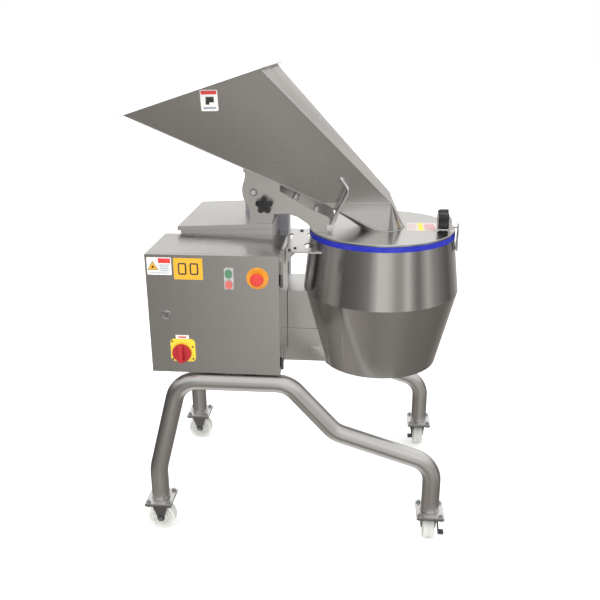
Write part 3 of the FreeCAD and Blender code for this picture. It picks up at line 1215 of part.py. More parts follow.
def hopper_corners(inset):
    """Mouth and outlet corners of the hopper, moved in by the sheet thickness."""
    slope = math.atan2(float(S.mouth_right_z - S.mouth_left_z), float(S.mouth_right_x - S.mouth_left_x))
    along = Vector(math.cos(slope), 0, math.sin(slope)) * inset * 1.25
    left = Vector(float(S.mouth_left_x), 0, float(S.mouth_left_z)) + along
    right = Vector(float(S.mouth_right_x), 0, float(S.mouth_right_z)) - along
    half = float(S.mouth_half) - inset * 1.05
    low_left = Vector(float(S.seam_left_x) + inset * 1.9, 0, float(S.seam_z))
    low_right = Vector(float(S.seam_right_x) - inset * 1.3, 0, float(S.seam_z))
    low_half = (seam_left_half - inset * 1.05, float(S.seam_half) - inset * 1.05)
    top = [left + Vector(0, -half, 0), right + Vector(0, -half, 0),
           right + Vector(0, half, 0), left + Vector(0, half, 0)]
    low = [low_left + Vector(0, -low_half[0], 0), low_right + Vector(0, -low_half[1], 0),
           low_right + Vector(0, low_half[1], 0), low_left + Vector(0, low_half[0], 0)]
    return top, low


def hull_between(top, low):
    """The solid between two four-cornered outlines, its side walls split into triangles."""
    faces = [list(reversed(low)), list(top)]
    for n in range(4):
        m = (n + 1) % 4
        faces.append([low[n], low[m], top[m]])
        faces.append([low[n], top[m], top[n]])
    return polyhedron(faces)


def hopper_shape():
    """Tapered sheet hopper with a flat lip round its tilted mouth."""
    outer_top, outer_low = hopper_corners(0)
    inner_top, inner_low = hopper_corners(float(S.hopper_t))
    body = hull_between(outer_top, outer_low).cut(hull_between(inner_top, inner_low))
    slope = math.atan2(float(S.mouth_right_z - S.mouth_left_z), float(S.mouth_right_x - S.mouth_left_x))
    normal = Vector(-math.sin(slope), 0, math.cos(slope))
    along = Vector(math.cos(slope), 0, math.sin(slope))
    lip = float(S.mouth_lip)
    outer = [outer_top[0] - along * lip + Vector(0, -lip, 0), outer_top[1] + along * lip * 0.6 + Vector(0, -lip, 0),
             outer_top[2] + along * lip * 0.6 + Vector(0, lip, 0), outer_top[3] - along * lip + Vector(0, lip, 0)]
    sheet_up = normal * float(S.hopper_t)
    rim = Part.Face(Part.makePolygon(outer + outer[:1])).extrude(sheet_up)
    hole = Part.Face(Part.makePolygon(inner_top + inner_top[:1])).extrude(sheet_up)
    return body.fuse(rim.cut(hole))


node("hopper", shaped("hopper", hopper_shape()))


def square_to_round(inset):
    """Solid from the four-cornered hopper outlet down to the round collar, in flat facets."""
    top = hopper_corners(inset)[1]
    radius = float(S.throat_r) - inset
    centre = Vector(float(drum_x), 0, float(S.lid_top_z))
    steps = 6
    angles = [225 + 90 * q / steps for q in range(4 * steps)]
    rim = [centre + Vector(radius * math.cos(math.radians(a)), radius * math.sin(math.radians(a)), 0)
           for a in angles]
    faces = [list(reversed(rim)), list(top)]
    count = len(rim)
    half = steps // 2
    for corner in range(4):
        middle = corner * steps
        for k in range(-half, half):
            faces.append([rim[(middle + k) % count], rim[(middle + k + 1) % count], top[corner]])
        faces.append([rim[(middle + half) % count], top[(corner + 1) % 4], top[corner]])
    return polyhedron(faces)


def throat_shape():
    sheet_thick = float(S.hopper_t)
    collar_h = float(S.lid_top_z - S.throat_low_z)
    base = Vector(float(drum_x), 0, float(S.throat_low_z))
    funnel = square_to_round(0).cut(square_to_round(sheet_thick))
    collar = Part.makeCylinder(float(S.throat_r), collar_h, base).cut(
        Part.makeCylinder(float(S.throat_r) - sheet_thick, collar_h, base))
    return funnel.fuse(collar)


node("feed_throat", shaped("feed_throat", throat_shape()))


def handle_shape():
    """A bent round bar: from its lug beside the arm, out, and back to the hopper's side wall."""
    foot = Vector(float(arm_end_x) - 7, -float(arm_in) - 14, float(S.lid_top_z) + 24)
    bend = Vector(float(arm_end_x) + 56, -float(S.seam_half) - 62, float(S.seam_z) + 55)
    tip = Vector(float(arm_end_x) + 27, -float(S.seam_half) - 30, float(S.seam_z) + 88)
    return swept_disc(rounded_path([foot, bend, tip], [18]), float(S.handle_r))


handle_foot = box("handle_foot", arm_end_x - 18, -arm_out - 14, S.lid_top_z + 10, 22, 14, 20)
handle_bar = handle_shape().cut(hull_between(*hopper_corners(0)))
node("lift_handle", fuse("lift_handle", shaped("handle_bar", handle_bar), handle_foot))

# ---------------------------------------------------------------- latch

CRANK_T, CRANK_GAP, PIN_R, PIN_PLAY, CRANK_REACH = 6, 1, 3.5, 1, 26
LATCH_TURN, KEEPER_T = 50, 4
latch_knob_x = S.lug_x - CRANK_GAP - S.knob_t
crank_x = S.lug_x + S.lug_t + CRANK_GAP


def keeper_branch():
    """The side branch of the keeper's slot: the arc that the crank pin follows."""
    half = PIN_R + PIN_PLAY
    last = -90 - LATCH_TURN - 4
    branch = ring_sector(CRANK_REACH - half, CRANK_REACH + half, last, -90, 30)
    a = math.radians(last)
    branch = branch.fuse(Part.makeCylinder(half, 30, Vector(CRANK_REACH * math.cos(a), CRANK_REACH * math.sin(a), 0)))
    branch.rotate(Vector(), Vector(1, 1, 1), 120)
    return branch


slot_half = PIN_R + PIN_PLAY
keeper_low_z, keeper_top_z = S.gasket_low_z - 40, S.latch_z - 8
keeper_left_y = S.latch_y - 34
keeper_blank = box("keeper_blank", S.keeper_x, keeper_left_y, keeper_low_z, KEEPER_T, 46, keeper_top_z - keeper_low_z)
keeper_rib = box("keeper_rib", drum_x + 200, S.latch_y - 20, keeper_low_z, S.keeper_x + 1 - drum_x - 200, 6, 34)
pin_low_z = S.latch_z - CRANK_REACH
keeper_slot = box("keeper_slot", S.keeper_x - 1, S.latch_y - slot_half, pin_low_z, KEEPER_T + 2, 2 * slot_half, 60)
keeper_seat = rod("keeper_seat", slot_half, KEEPER_T + 2, S.keeper_x - 1, S.latch_y, pin_low_z, "X")
drum_room = rod("drum_room", drum_clear_r + 1.5, 400, drum_x, 0, S.drum_low_z + 200)
node("latch_keeper", cut("latch_keeper", fuse("keeper_body", keeper_blank, keeper_rib), keeper_slot, keeper_seat,
                         shaped("keeper_branch", keeper_branch(), S.keeper_x - 10, S.latch_y, S.latch_z),
                         drum_room))

latch_shape = star_knob(float(S.knob_r), float(S.knob_t))
latch_shape.rotate(Vector(), Vector(0, 1, 0), -90)
latch_shape.translate(Vector(float(S.knob_t), 0, 0))
crank_arm = box("crank_arm", crank_x, S.latch_y - 7, pin_low_z, CRANK_T, 14, CRANK_REACH)
crank_ends = [rod("crank_end%d" % n, radius, CRANK_T, crank_x, S.latch_y, z, "X")
              for n, (radius, z) in enumerate(((10, S.latch_z), (7, pin_low_z)))]
crank_pin = rod("crank_pin", PIN_R, S.keeper_x + KEEPER_T - crank_x, crank_x, S.latch_y, pin_low_z, "X")
latch_stud = rod("latch_stud", S.stud_r, crank_x + 1 - latch_knob_x - 6, latch_knob_x + 6, S.latch_y, S.latch_z, "X")
node("latch_knob", fuse("latch_knob", shaped("latch_grip", latch_shape, latch_knob_x, S.latch_y, S.latch_z),
                        latch_stud, crank_arm, *crank_ends, crank_pin))

# ---------------------------------------------------------------- check and write

doc.recompute()


def check_document():
    """Stops with the names of failed objects and of bad shapes."""
    failed = [obj.Name for obj in doc.Objects if {"Invalid", "Error"} & set(obj.State)]
    bad = [obj.Label for obj in NODES if obj.Shape.isNull() or not obj.Shape.isValid()]
    if failed or bad:
        raise RuntimeError("failed objects: %s, bad shapes: %s" % (failed, bad))


check_document()
os.makedirs("parts", exist_ok=True)
for obj in NODES:
    obj.Shape.exportStep("parts/%s.step" % obj.Label)
print("%d parts written" % len(NODES))
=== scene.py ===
"""Finishes, markings and small fittings for a centrifugal vegetable slicer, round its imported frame."""

import json
import math

import bmesh
import bpy
from bpy.props import FloatProperty, FloatVectorProperty, PointerProperty
from mathutils import Euler, Matrix, Vector


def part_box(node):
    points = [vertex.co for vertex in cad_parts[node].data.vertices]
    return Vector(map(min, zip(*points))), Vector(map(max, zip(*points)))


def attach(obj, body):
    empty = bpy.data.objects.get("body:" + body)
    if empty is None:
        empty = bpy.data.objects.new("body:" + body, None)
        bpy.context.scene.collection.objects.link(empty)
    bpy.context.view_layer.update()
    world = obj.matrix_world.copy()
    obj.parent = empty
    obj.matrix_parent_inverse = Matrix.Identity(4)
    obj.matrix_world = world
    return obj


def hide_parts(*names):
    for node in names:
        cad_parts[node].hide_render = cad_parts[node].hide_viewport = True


bl_info = {
    "name": "Vegetable Slicer Finisher",
    "version": (1, 0, 0),
    "blender": (4, 5, 0),
    "location": "3D View > Sidebar > Slicer",
    "description": "Finishes, markings and small fittings for a stainless vegetable slicer",
    "category": "Object",
}

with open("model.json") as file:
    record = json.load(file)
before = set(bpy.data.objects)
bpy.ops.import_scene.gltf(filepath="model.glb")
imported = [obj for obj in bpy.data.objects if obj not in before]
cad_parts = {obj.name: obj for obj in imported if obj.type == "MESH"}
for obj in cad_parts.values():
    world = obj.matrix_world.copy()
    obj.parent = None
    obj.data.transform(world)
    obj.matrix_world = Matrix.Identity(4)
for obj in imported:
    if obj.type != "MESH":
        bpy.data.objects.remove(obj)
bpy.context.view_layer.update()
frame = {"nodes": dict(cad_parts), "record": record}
NODES = frame["nodes"]
BODY_OF = {node: body for body, names in frame["record"]["behaviour"]["bodies"].items() for node in names}
SLOT_OF = {part["node"]: part["material_slot"] for part in frame["record"]["subparts"]}

MM = 0.001
DOOR_LEFT_X, DOOR_FACE_Y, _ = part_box("cabinet_door")[0]
DOOR_TOP_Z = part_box("cabinet_door")[1][2]
DRUM_LOW, DRUM_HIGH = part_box("drum_upper")
DRUM_X = (DRUM_LOW[0] + DRUM_HIGH[0]) / 2
DRUM_SEAM_Z = DRUM_LOW[2]
DRUM_SEAM_RADIUS = 278.5 * MM
LID_TOP_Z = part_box("hinge_arms")[0][2]
LID_RIM_RADIUS = 254.5 * MM
THROAT_RADIUS = 79 * MM
LEG_WELD_RADIUS = 32 * MM
COLLAR_RIM_RADIUS = 33.5 * MM
LATCH_STUD_X = 0.521
CLAMP_STUD_Y = -0.1001

# The hopper's mouth (low and high corner) and outlet (left and right corner), on the far side.
HOPPER_MOUTH = ((-0.548, 0.215, 1.477), (-0.103, 0.215, 1.619))
HOPPER_OUTLET = ((0.087, 0.1045, 1.178), (0.319, 0.090, 1.178))

HANDLE_FOOT = Vector((0.113, -0.105, 1.098))
HANDLE_BEND = Vector((0.176, -0.152, 1.233))
HANDLE_TIP = Vector((0.147, -0.120, 1.266))


# ------------------------------------------------------------------ shader helpers

class Wire:
    """One output socket; arithmetic on it adds Math nodes to its recipe."""

    def __init__(self, recipe, socket):
        self.recipe = recipe
        self.socket = socket

    def _math(self, operation, first, second):
        return self.recipe.node("ShaderNodeMath", {"operation": operation}, {0: first, 1: second})

    def __add__(self, other):
        return self._math("ADD", self, other)

    def __radd__(self, other):
        return self._math("ADD", other, self)

    def __sub__(self, other):
        return self._math("SUBTRACT", self, other)

    def __rsub__(self, other):
        return self._math("SUBTRACT", other, self)

    def __mul__(self, other):
        return self._math("MULTIPLY", self, other)

    def __rmul__(self, other):
        return self._math("MULTIPLY", other, self)


class Recipe:
    """The node tree of one material or world, with short ways to add its nodes."""

    def __init__(self, tree):
        self.tree = tree

    def node(self, kind, settings=None, sockets=None, output=0):
        """Adds one node: its settings first, then the values or links of its sockets."""
        made = self.tree.nodes.new(kind)
        for key, value in (settings or {}).items():
            if key == "stops":
                self._set_stops(made.color_ramp, value)
            else:
                setattr(made, key, value)
        for key, value in (sockets or {}).items():
            self.feed(made.inputs[key], value)
        return Wire(self, made.outputs[output])

    def feed(self, socket, value):
        if isinstance(value, Wire):
            self.tree.links.new(value.socket, socket)
        else:
            socket.default_value = value

    @staticmethod
    def _set_stops(ramp, stops):
        while len(ramp.elements) < len(stops):
            ramp.elements.new(0.5)
        for element, (place, colour) in zip(ramp.elements, stops):
            element.position = place
            element.color = (*colour, 1)

    def place(self, scale=(1, 1, 1), centre=(0, 0, 0)):
        """Object coordinates, centred and stretched."""
        where = self.node("ShaderNodeTexCoord", output="Object")
        shift = [-c * s for c, s in zip(centre, scale)]
        return self.node("ShaderNodeMapping", {}, {"Vector": where, "Location": shift, "Scale": scale})

    def noise(self, scale, detail=2.0, roughness=0.5, centre=(0, 0, 0)):
        return self.node("ShaderNodeTexNoise", {}, {
            "Vector": self.place(scale, centre), "Scale": 1.0, "Detail": detail, "Roughness": roughness})

    def ramp(self, value, stops):
        return self.node("ShaderNodeValToRGB", {"stops": stops}, {0: value})

    def clamp(self, value, low, high):
        """A value rising from 0 to 1 between low and high."""
        return self.node("ShaderNodeMapRange", {"interpolation_type": "SMOOTHSTEP"},
                         {"Value": value, "From Min": low, "From Max": high})

    def mix(self, mask, low, high):
        """A colour between low and high; a Mix node's colour sockets are 6 and 7, its colour output 2."""
        full = {socket: (*end, 1) if isinstance(end, tuple) else end for socket, end in ((6, low), (7, high))}
        return self.node("ShaderNodeMix", {"data_type": "RGBA"}, {0: mask, **full}, output=2)


class Finish(Recipe):
    """A material with one Principled shader."""

    def __init__(self, name):
        self.material = bpy.data.materials.new(name)
        self.material.use_nodes = True
        super().__init__(self.material.node_tree)
        self.shader = self.tree.nodes["Principled BSDF"]

    def set(self, **sockets):
        for key, value in sockets.items():
            key = key.replace("_", " ")
            if isinstance(value, tuple) and len(value) == 3:
                value = (*value, 1)
            self.feed(self.shader.inputs[key], value)
        return self

    def bump(self, height, strength, distance):
        normal = self.node("ShaderNodeBump", {},
                           {"Strength": strength, "Distance": distance, "Height": height})
        self.feed(self.shader.inputs["Normal"], normal)
        return self


def shade(colour, factor):
    return tuple(min(1.0, c * factor) for c in colour)


# ------------------------------------------------------------------ finishes

def brushed_steel(name, colour, roughness, grain, anisotropy, turn, streak, smudge, relief):
    """Stainless steel with a directional grain, broad cloudiness and faint handling marks."""
    finish = Finish(name)
    lines = finish.noise(grain, 3.0, 0.65)
    broad = finish.noise(tuple(g * 0.1 for g in grain), 2.0)
    cloud = finish.noise((2.6, 2.6, 2.6), 3.0, 0.55)
    marks = finish.clamp(finish.noise((17, 17, 17), 4.0, 0.6), 0.5, 0.8)
    tone = lines * 0.16 + broad * 0.24 + cloud * 0.6
    uneven = ((lines - 0.5) * (0.05 * streak) + (broad - 0.5) * (0.04 * streak)
              + (cloud - 0.5) * (0.08 * smudge) + marks * (0.03 * smudge))
    finish.set(Base_Color=finish.mix(tone, shade(colour, 0.94), shade(colour, 1.05)), Metallic=1.0,
               Roughness=uneven + roughness, Anisotropic=anisotropy, Anisotropic_Rotation=turn)
    finish.bump(lines * 0.3 + broad * 0.7, relief, 0.001)
    return finish.material


def bead_blasted(name, colour, roughness):
    """Satin steel with an even fine grit and faint darker patches."""
    finish = Finish(name)
    grit = finish.noise((420, 420, 420), 2.0, 0.6)
    cloud = finish.noise((4, 4, 4), 3.0, 0.55)
    marks = finish.clamp(finish.noise((26, 26, 26), 4.0, 0.6), 0.55, 0.8)
    finish.set(Base_Color=finish.mix(cloud, shade(colour, 0.84), shade(colour, 1.08)), Metallic=1.0,
               Roughness=(grit - 0.5) * 0.10 + (cloud - 0.5) * 0.10 - marks * 0.05 + roughness)
    return finish.bump(grit, 0.06, 0.0004).material


def ground_steel(name, colour, roughness):
    """Turned or ground steel with an even fine grain."""
    finish = Finish(name)
    fine = finish.noise((260, 260, 260), 2.0, 0.6)
    cloud = finish.noise((11, 11, 11), 2.0)
    finish.set(Base_Color=finish.mix(cloud, shade(colour, 0.82), shade(colour, 1.1)), Metallic=1.0,
               Roughness=(fine - 0.5) * 0.12 + (cloud - 0.5) * 0.12 + roughness)
    return finish.bump(fine, 0.05, 0.0005).material


def moulded(name, colour, roughness, grain=420, relief=0.06, coat=0.0, dust=0.10):
    """Moulded plastic, rubber or enamel: fine texture, slight mottling, dulled high spots."""
    finish = Finish(name)
    fine = finish.noise((grain, grain, grain), 2.0, 0.5)
    cloud = finish.noise((23, 23, 23), 3.0, 0.6)
    pale = tuple(c + (0.55 - c) * dust for c in colour)
    finish.set(Base_Color=finish.mix(finish.clamp(cloud, 0.3, 0.75), colour, pale),
               Roughness=(cloud - 0.5) * 0.14 + (fine - 0.5) * 0.10 + roughness, Coat_Weight=coat)
    return finish.bump(fine, relief, 0.0005).material


def floor_paint():
    """Pale matt floor, lifted a little so that it stays evenly light far away."""
    finish = Finish("studio_floor")
    cloud = finish.noise((1.5, 1.5, 1.5), 2.0)
    finish.set(Base_Color=finish.mix(cloud, (0.90, 0.90, 0.90), (0.94, 0.94, 0.94)), Roughness=0.9,
               Emission_Color=(1.0, 1.0, 1.0), Emission_Strength=0.22)
    return finish.material


FINISHES = {}


def finish_of(key):
    """Makes each finish once, from the colours in the panel.

    A brushed steel has its name, colour, roughness, grain, anisotropy, turn, streak, smudge and relief;
    other steels have a name, colour and roughness; a moulded finish may add grain, relief, coat and dust.
    """
    if key in FINISHES:
        return FINISHES[key]
    colours = bpy.context.scene.slicer_colours
    steel = tuple(colours.steel)
    recipes = {
        "drum": (brushed_steel, "drum_steel", steel, 0.19, (5, 5, 900), 0.75, 0.25, 0.6, 0.8, 0.010),
        "lid": (brushed_steel, "lid_steel", shade(steel, 1.06), 0.22, (600, 12, 12), 0.3, 0.0, 0.6, 1.0,
                0.008),
        "door": (brushed_steel, "door_steel", steel, 0.27, (700, 8, 8), 0.6, 0.25, 0.5, 0.9, 0.006),
        "cabinet": (brushed_steel, "cabinet_steel", steel, 0.26, (9, 9, 700), 0.5, 0.25, 0.5, 0.8, 0.006),
        "hopper": (brushed_steel, "hopper_steel", shade(steel, 0.94), 0.26, (7, 7, 800), 0.5, 0.25, 0.5,
                   1.0, 0.006),
        # Bright and dark copies of the steel for the throat's fan facets: painted highlight and painted
        # shade.
        "facet_bright": (bead_blasted, "facet_bright_steel", (0.96, 0.95, 0.94), 0.50),
        "facet_mid": (bead_blasted, "facet_mid_steel", (0.46, 0.45, 0.44), 0.34),
        "throat": (brushed_steel, "throat_steel", shade(steel, 1.12), 0.22, (12, 12, 600), 0.3, 0.25,
                   0.5, 0.8, 0.008),
        "tube": (bead_blasted, "tube_satin_steel", shade(steel, 1.14), 0.33),
        "housing": (brushed_steel, "housing_steel", shade(steel, 1.06), 0.33, (8, 8, 600), 0.5, 0.25,
                    0.5, 0.8, 0.008),
        "column": (bead_blasted, "column_steel", (0.86, 0.86, 0.92), 0.50),
        "plate": (bead_blasted, "plate_steel", shade(steel, 1.08), 0.30),
        "cradle": (brushed_steel, "cradle_steel", shade(steel, 1.2), 0.25, (500, 10, 10), 0.3, 0.0, 0.6,
                   1.0, 0.01),
        "stainless": (bead_blasted, "stainless_steel", shade(steel, 1.1), 0.32),
        "polished_steel": (ground_steel, "polished_steel", (0.86, 0.86, 0.87), 0.14),
        "bright_nut": (ground_steel, "bright_nut_steel", (0.92, 0.92, 0.93), 0.22),
        "ground_steel": (ground_steel, "ground_steel", (0.70, 0.71, 0.72), 0.26),
        "zinc_steel": (ground_steel, "zinc_steel", (0.60, 0.61, 0.63), 0.33),
        # Bright steel for the hopper's fold bars and the lid's rim: a painted highlight along the edges.
        "fold": (ground_steel, "polished_fold", (0.93, 0.93, 0.93), 0.42),
        "weld": (ground_steel, "weld_bead", (0.62, 0.60, 0.58), 0.36),
        "bronze": (ground_steel, "bronze", (0.66, 0.47, 0.24), 0.35),
        "fork_steel": (ground_steel, "fork_steel", (0.34, 0.34, 0.35), 0.36),
        "dark_steel": (moulded, "dark_lever", (0.035, 0.035, 0.04), 0.42),
        "motor_paint": (moulded, "motor_enamel", (0.20, 0.24, 0.28), 0.38, 160, 0.10, 0.2),
        "blue_gasket": (moulded, "blue_gasket", tuple(colours.gasket), 0.38, 300, 0.05, 0.0, 0.05),
        "black_rubber": (moulded, "black_rubber", (0.02, 0.02, 0.02), 0.62, 260, 0.12),
        "black_plastic": (moulded, "black_knob", (0.012, 0.012, 0.013), 0.30, 380, 0.05, 0.3, 0.03),
        "white_nylon": (moulded, "ivory_nylon", tuple(colours.nylon), 0.40, 180, 0.08, 0.1, 0.12),
        "grey_plastic": (moulded, "grey_case", (0.40, 0.41, 0.42), 0.5),
        "pale_plastic": (moulded, "pale_bezel", (0.55, 0.56, 0.55), 0.33, 300, 0.04, 0.2),
        "green_plastic": (moulded, "green_button", (0.055, 0.21, 0.10), 0.26, 300, 0.03, 0.4, 0.10),
        "stop_lens": (moulded, "stop_button_red", (0.62, 0.13, 0.11), 0.26, 300, 0.03, 0.4, 0.06),
        "dial_red": (moulded, "dial_red", (0.47, 0.008, 0.018), 0.34, 300, 0.05, 0.2, 0.02),
        "collar_yellow": (moulded, "collar_yellow", (0.83, 0.36, 0.012), 0.40, 300, 0.04, 0.1, 0.04),
        "red_plastic": (moulded, "red_switch", tuple(colours.red), 0.32, 300, 0.04, 0.2, 0.03),
        "yellow_plastic": (moulded, "yellow_plate", tuple(colours.yellow), 0.40, 300, 0.04, 0.1, 0.04),
        "paper": (moulded, "label_white", (0.80, 0.80, 0.78), 0.46, 500, 0.02, 0.1, 0.06),
        "ink": (moulded, "label_black", (0.02, 0.02, 0.02), 0.5, 500, 0.02),
        "label_red": (moulded, "label_red", (0.68, 0.03, 0.03), 0.46, 500, 0.02, 0.1, 0.04),
        "label_yellow": (moulded, "label_yellow", (0.84, 0.42, 0.008), 0.46, 500, 0.02, 0.1, 0.04),
        "label_pale": (moulded, "label_pale", (0.60, 0.56, 0.53), 0.4, 500, 0.02, 0.1, 0.04),
        "label_grey": (moulded, "label_grey", (0.30, 0.34, 0.40), 0.46, 500, 0.02, 0.1, 0.04),
        "label_pink": (moulded, "label_pink", (0.62, 0.36, 0.38), 0.46, 500, 0.02, 0.1, 0.04),
        "stage": (floor_paint,),
    }
    maker, *settings = recipes[key]
    FINISHES[key] = maker(*settings)
    return FINISHES[key]


NODE_FINISH = {
    "drum_upper": "drum", "drum_lower": "drum", "lid_plate": "lid", "cabinet_door": "door",
    "control_cabinet": "cabinet", "hopper": "hopper", "feed_throat": "throat",
    "front_frame_tube": "tube", "rear_frame_tube": "tube", "cross_rails": "tube",
    "drive_housing": "housing", "housing_roof": "housing", "drive_tunnel": "housing",
    "belt_case": "housing", "main_column": "column", "hinge_arms": "plate", "stop_button": "stop_lens",
    "isolator_handle": "dial_red", "estop_collar": "collar_yellow", "lift_handle": "polished_steel",
    "rigid_casters": "fork_steel", "right_front_fork": "fork_steel", "right_rear_fork": "fork_steel",
    # The zinc door hinge pins take the dark fork steel as painted shade.
    "swivel_heads": "fork_steel", "door_hinge_pins": "fork_steel", "hinge_pedestal": "plate",
    "cradle_plate": "cradle", "leg_plates": "plate", "bed_plate": "plate",
}


def node_finish(node):
    """The finish of a frame node: its own, or else that of its slot."""
    return NODE_FINISH.get(node, SLOT_OF[node])


# ------------------------------------------------------------------ modelling helpers

def centre_of(node):
    """The middle of a frame node's box."""
    low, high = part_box(node)
    return (Vector(low) + Vector(high)) / 2


def hopper_side(side):
    """The hopper's mouth and outlet corners on one side: -1 in front, 1 behind."""
    return [Vector((x, side * y, z)) for x, y, z in (*HOPPER_MOUTH, *HOPPER_OUTLET)]
def finish_piece(name, bm, key, body, sharp=35.0):
    """Turns a bmesh into one finished piece that rides on a body."""
    mesh = bpy.data.meshes.new(name)
    bm.to_mesh(mesh)
    bm.free()
    mesh.shade_smooth()
    mesh.set_sharp_from_angle(angle=math.radians(sharp))
    piece = bpy.data.objects.new(name, mesh)
    bpy.context.scene.collection.objects.link(piece)
    mesh.materials.append(finish_of(key))
    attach(piece, body)
    return piece


def merged_copy(node):
    """A bmesh of a frame node with its triangles joined and its flat faces cleaned."""
    bm = bmesh.new()
    bm.from_mesh(NODES[node].data)
    bmesh.ops.remove_doubles(bm, verts=bm.verts, dist=1e-6)
    bmesh.ops.dissolve_limit(bm, angle_limit=math.radians(0.4), verts=bm.verts, edges=bm.edges)
    return bm


def soften(node, width, segments=2, angle=35.0, sharp=35.0):
    """Replaces a frame node by a copy whose sharp edges are rounded."""
    piece = finish_piece(node + "_soft", merged_copy(node), node_finish(node), BODY_OF[node],
                         sharp)
    edge = piece.modifiers.new("rounded_edges", "BEVEL")
    edge.width = width
    edge.segments = segments
    edge.limit_method = "ANGLE"
    edge.angle_limit = math.radians(angle)
    edge.use_clamp_overlap = True
    edge.harden_normals = True
    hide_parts(node)
    return piece


def slab(bm, centre, size, corner=0.0, segments=4, axis="Y"):
    """Adds a flat block; its corners seen along axis are rounded."""
    made = bmesh.ops.create_cube(bm, size=1.0, matrix=Matrix.LocRotScale(Vector(centre), None, Vector(size)))
    if corner > 0:
        i = "XYZ".index(axis)
        edges = {e for v in made["verts"] for e in v.link_edges
                 if abs((e.verts[0].co - e.verts[1].co)[i]) > 0.9 * size[i]
                 and max(abs((e.verts[0].co - e.verts[1].co)[j]) for j in range(3) if j != i) < 1e-7}
        bmesh.ops.bevel(bm, geom=list(edges), offset=corner, offset_type="OFFSET", segments=segments,
                        profile=0.5, affect="EDGES", material=-1, clamp_overlap=True)


def disc(bm, centre, radius, depth, axis="Y", sides=32, radius_far=None):
    """Adds a short round bar centred on a point."""
    tilt = {"X": (0, math.radians(90), 0), "Y": (math.radians(-90), 0, 0), "Z": (0, 0, 0)}[axis]
    bmesh.ops.create_cone(bm, cap_ends=True, segments=sides, radius1=radius,
                          radius2=radius if radius_far is None else radius_far, depth=depth,
                          matrix=Matrix.Translation(Vector(centre)) @ Euler(tilt).to_matrix().to_4x4())


def bead_ring(bm, centre, radius, bead, axis="Z", steps=96, sides=8):
    """Adds a weld bead or wire ring: a small circle spun round an axis."""
    around = {"X": Vector((1, 0, 0)), "Y": Vector((0, 1, 0)), "Z": Vector((0, 0, 1))}[axis]
    out = Vector((0, 0, 1)) if axis == "X" else Vector((1, 0, 0))
    turn = (around.cross(out)).to_track_quat("Z", "Y").to_matrix().to_4x4()
    start = bmesh.ops.create_circle(bm, cap_ends=False, segments=sides, radius=bead,
                                    matrix=Matrix.Translation(Vector(centre) + out * radius) @ turn)
    edges = list({e for v in start["verts"] for e in v.link_edges})
    bmesh.ops.spin(bm, geom=edges, cent=centre, axis=around, angle=2 * math.pi, steps=steps, use_merge=True)
    bmesh.ops.remove_doubles(bm, verts=bm.verts, dist=1e-7)
    bmesh.ops.recalc_face_normals(bm, faces=bm.faces)


def triangle(bm, centre, radius, depth):
    """Adds a flat three-cornered plate in the X-Z plane that points up."""
    turn = Euler((math.radians(90), 0, 0)).to_matrix().to_4x4()
    made = bmesh.ops.create_cone(bm, cap_ends=True, segments=3, radius1=radius, radius2=radius, depth=depth)
    tip = max((v.co.copy() for v in made["verts"]), key=lambda co: co.y)
    spin = Matrix.Rotation(math.radians(90) - math.atan2(tip.y, tip.x), 4, "Z")
    bmesh.ops.transform(bm, matrix=Matrix.Translation(Vector(centre)) @ turn @ spin, verts=made["verts"])


def bar_between(bm, start, end, radius, sides=16, radius_end=None):
    """Adds a round bar from one point to another."""
    run = Vector(end) - Vector(start)
    turn = run.to_track_quat("Z", "Y").to_matrix().to_4x4()
    bmesh.ops.create_cone(bm, cap_ends=True, segments=sides, radius1=radius,
                          radius2=radius if radius_end is None else radius_end, depth=run.length,
                          matrix=Matrix.Translation((Vector(start) + Vector(end)) / 2) @ turn)


# ------------------------------------------------------------------ panel settings

class SlicerColours(bpy.types.PropertyGroup):
    steel: FloatVectorProperty(name="Stainless steel", description="Base colour of the brushed sheet",
                               default=(0.70, 0.695, 0.685), subtype="COLOR", min=0, max=1)
    gasket: FloatVectorProperty(name="Rim gasket", description="Colour of the drum's rim seal",
                                default=(0.004, 0.014, 0.42), subtype="COLOR", min=0, max=1)
    nylon: FloatVectorProperty(name="Wheel nylon", description="Colour of the caster wheels",
                               default=(0.72, 0.73, 0.69), subtype="COLOR", min=0, max=1)
    red: FloatVectorProperty(name="Switch red", description="Colour of the stop controls",
                             default=(0.66, 0.040, 0.025), subtype="COLOR", min=0, max=1)
    yellow: FloatVectorProperty(name="Switch yellow", description="Colour behind the stop controls",
                                default=(0.87, 0.66, 0.025), subtype="COLOR", min=0, max=1)


class SlicerSizes(bpy.types.PropertyGroup):
    sheet_edge: FloatProperty(name="Sheet edge", description="Rounding of folded sheet edges",
                              default=1.6 * MM, unit="LENGTH", min=0, max=0.005)
    plate_edge: FloatProperty(name="Plate edge", description="Rounding of cut plate edges", default=0.8 * MM,
                              unit="LENGTH", min=0, max=0.005)
    knob_edge: FloatProperty(name="Knob edge", description="Rounding of the star knobs", default=3.5 * MM,
                             unit="LENGTH", min=0, max=0.01)
    label_depth: FloatProperty(name="Label thickness", description="Thickness of a stuck-on label",
                               default=0.5 * MM, unit="LENGTH", min=0, max=0.003)
    weld_bead: FloatProperty(name="Weld bead", description="Half width of a dressed weld", default=2.2 * MM,
                             unit="LENGTH", min=0, max=0.01)


# ------------------------------------------------------------------ pieces

class SLICER_OT_frame_finishes(bpy.types.Operator):
    """Gives each frame node the finish of its real material"""
    bl_idname = "slicer.frame_finishes"
    bl_label = "Frame finishes"

    def execute(self, context):
        for node, thing in NODES.items():
            material = finish_of(node_finish(node))
            if not thing.material_slots:
                thing.data.materials.append(material)
            for slot in thing.material_slots:
                slot.link = "OBJECT"
                slot.material = material
        return {"FINISHED"}


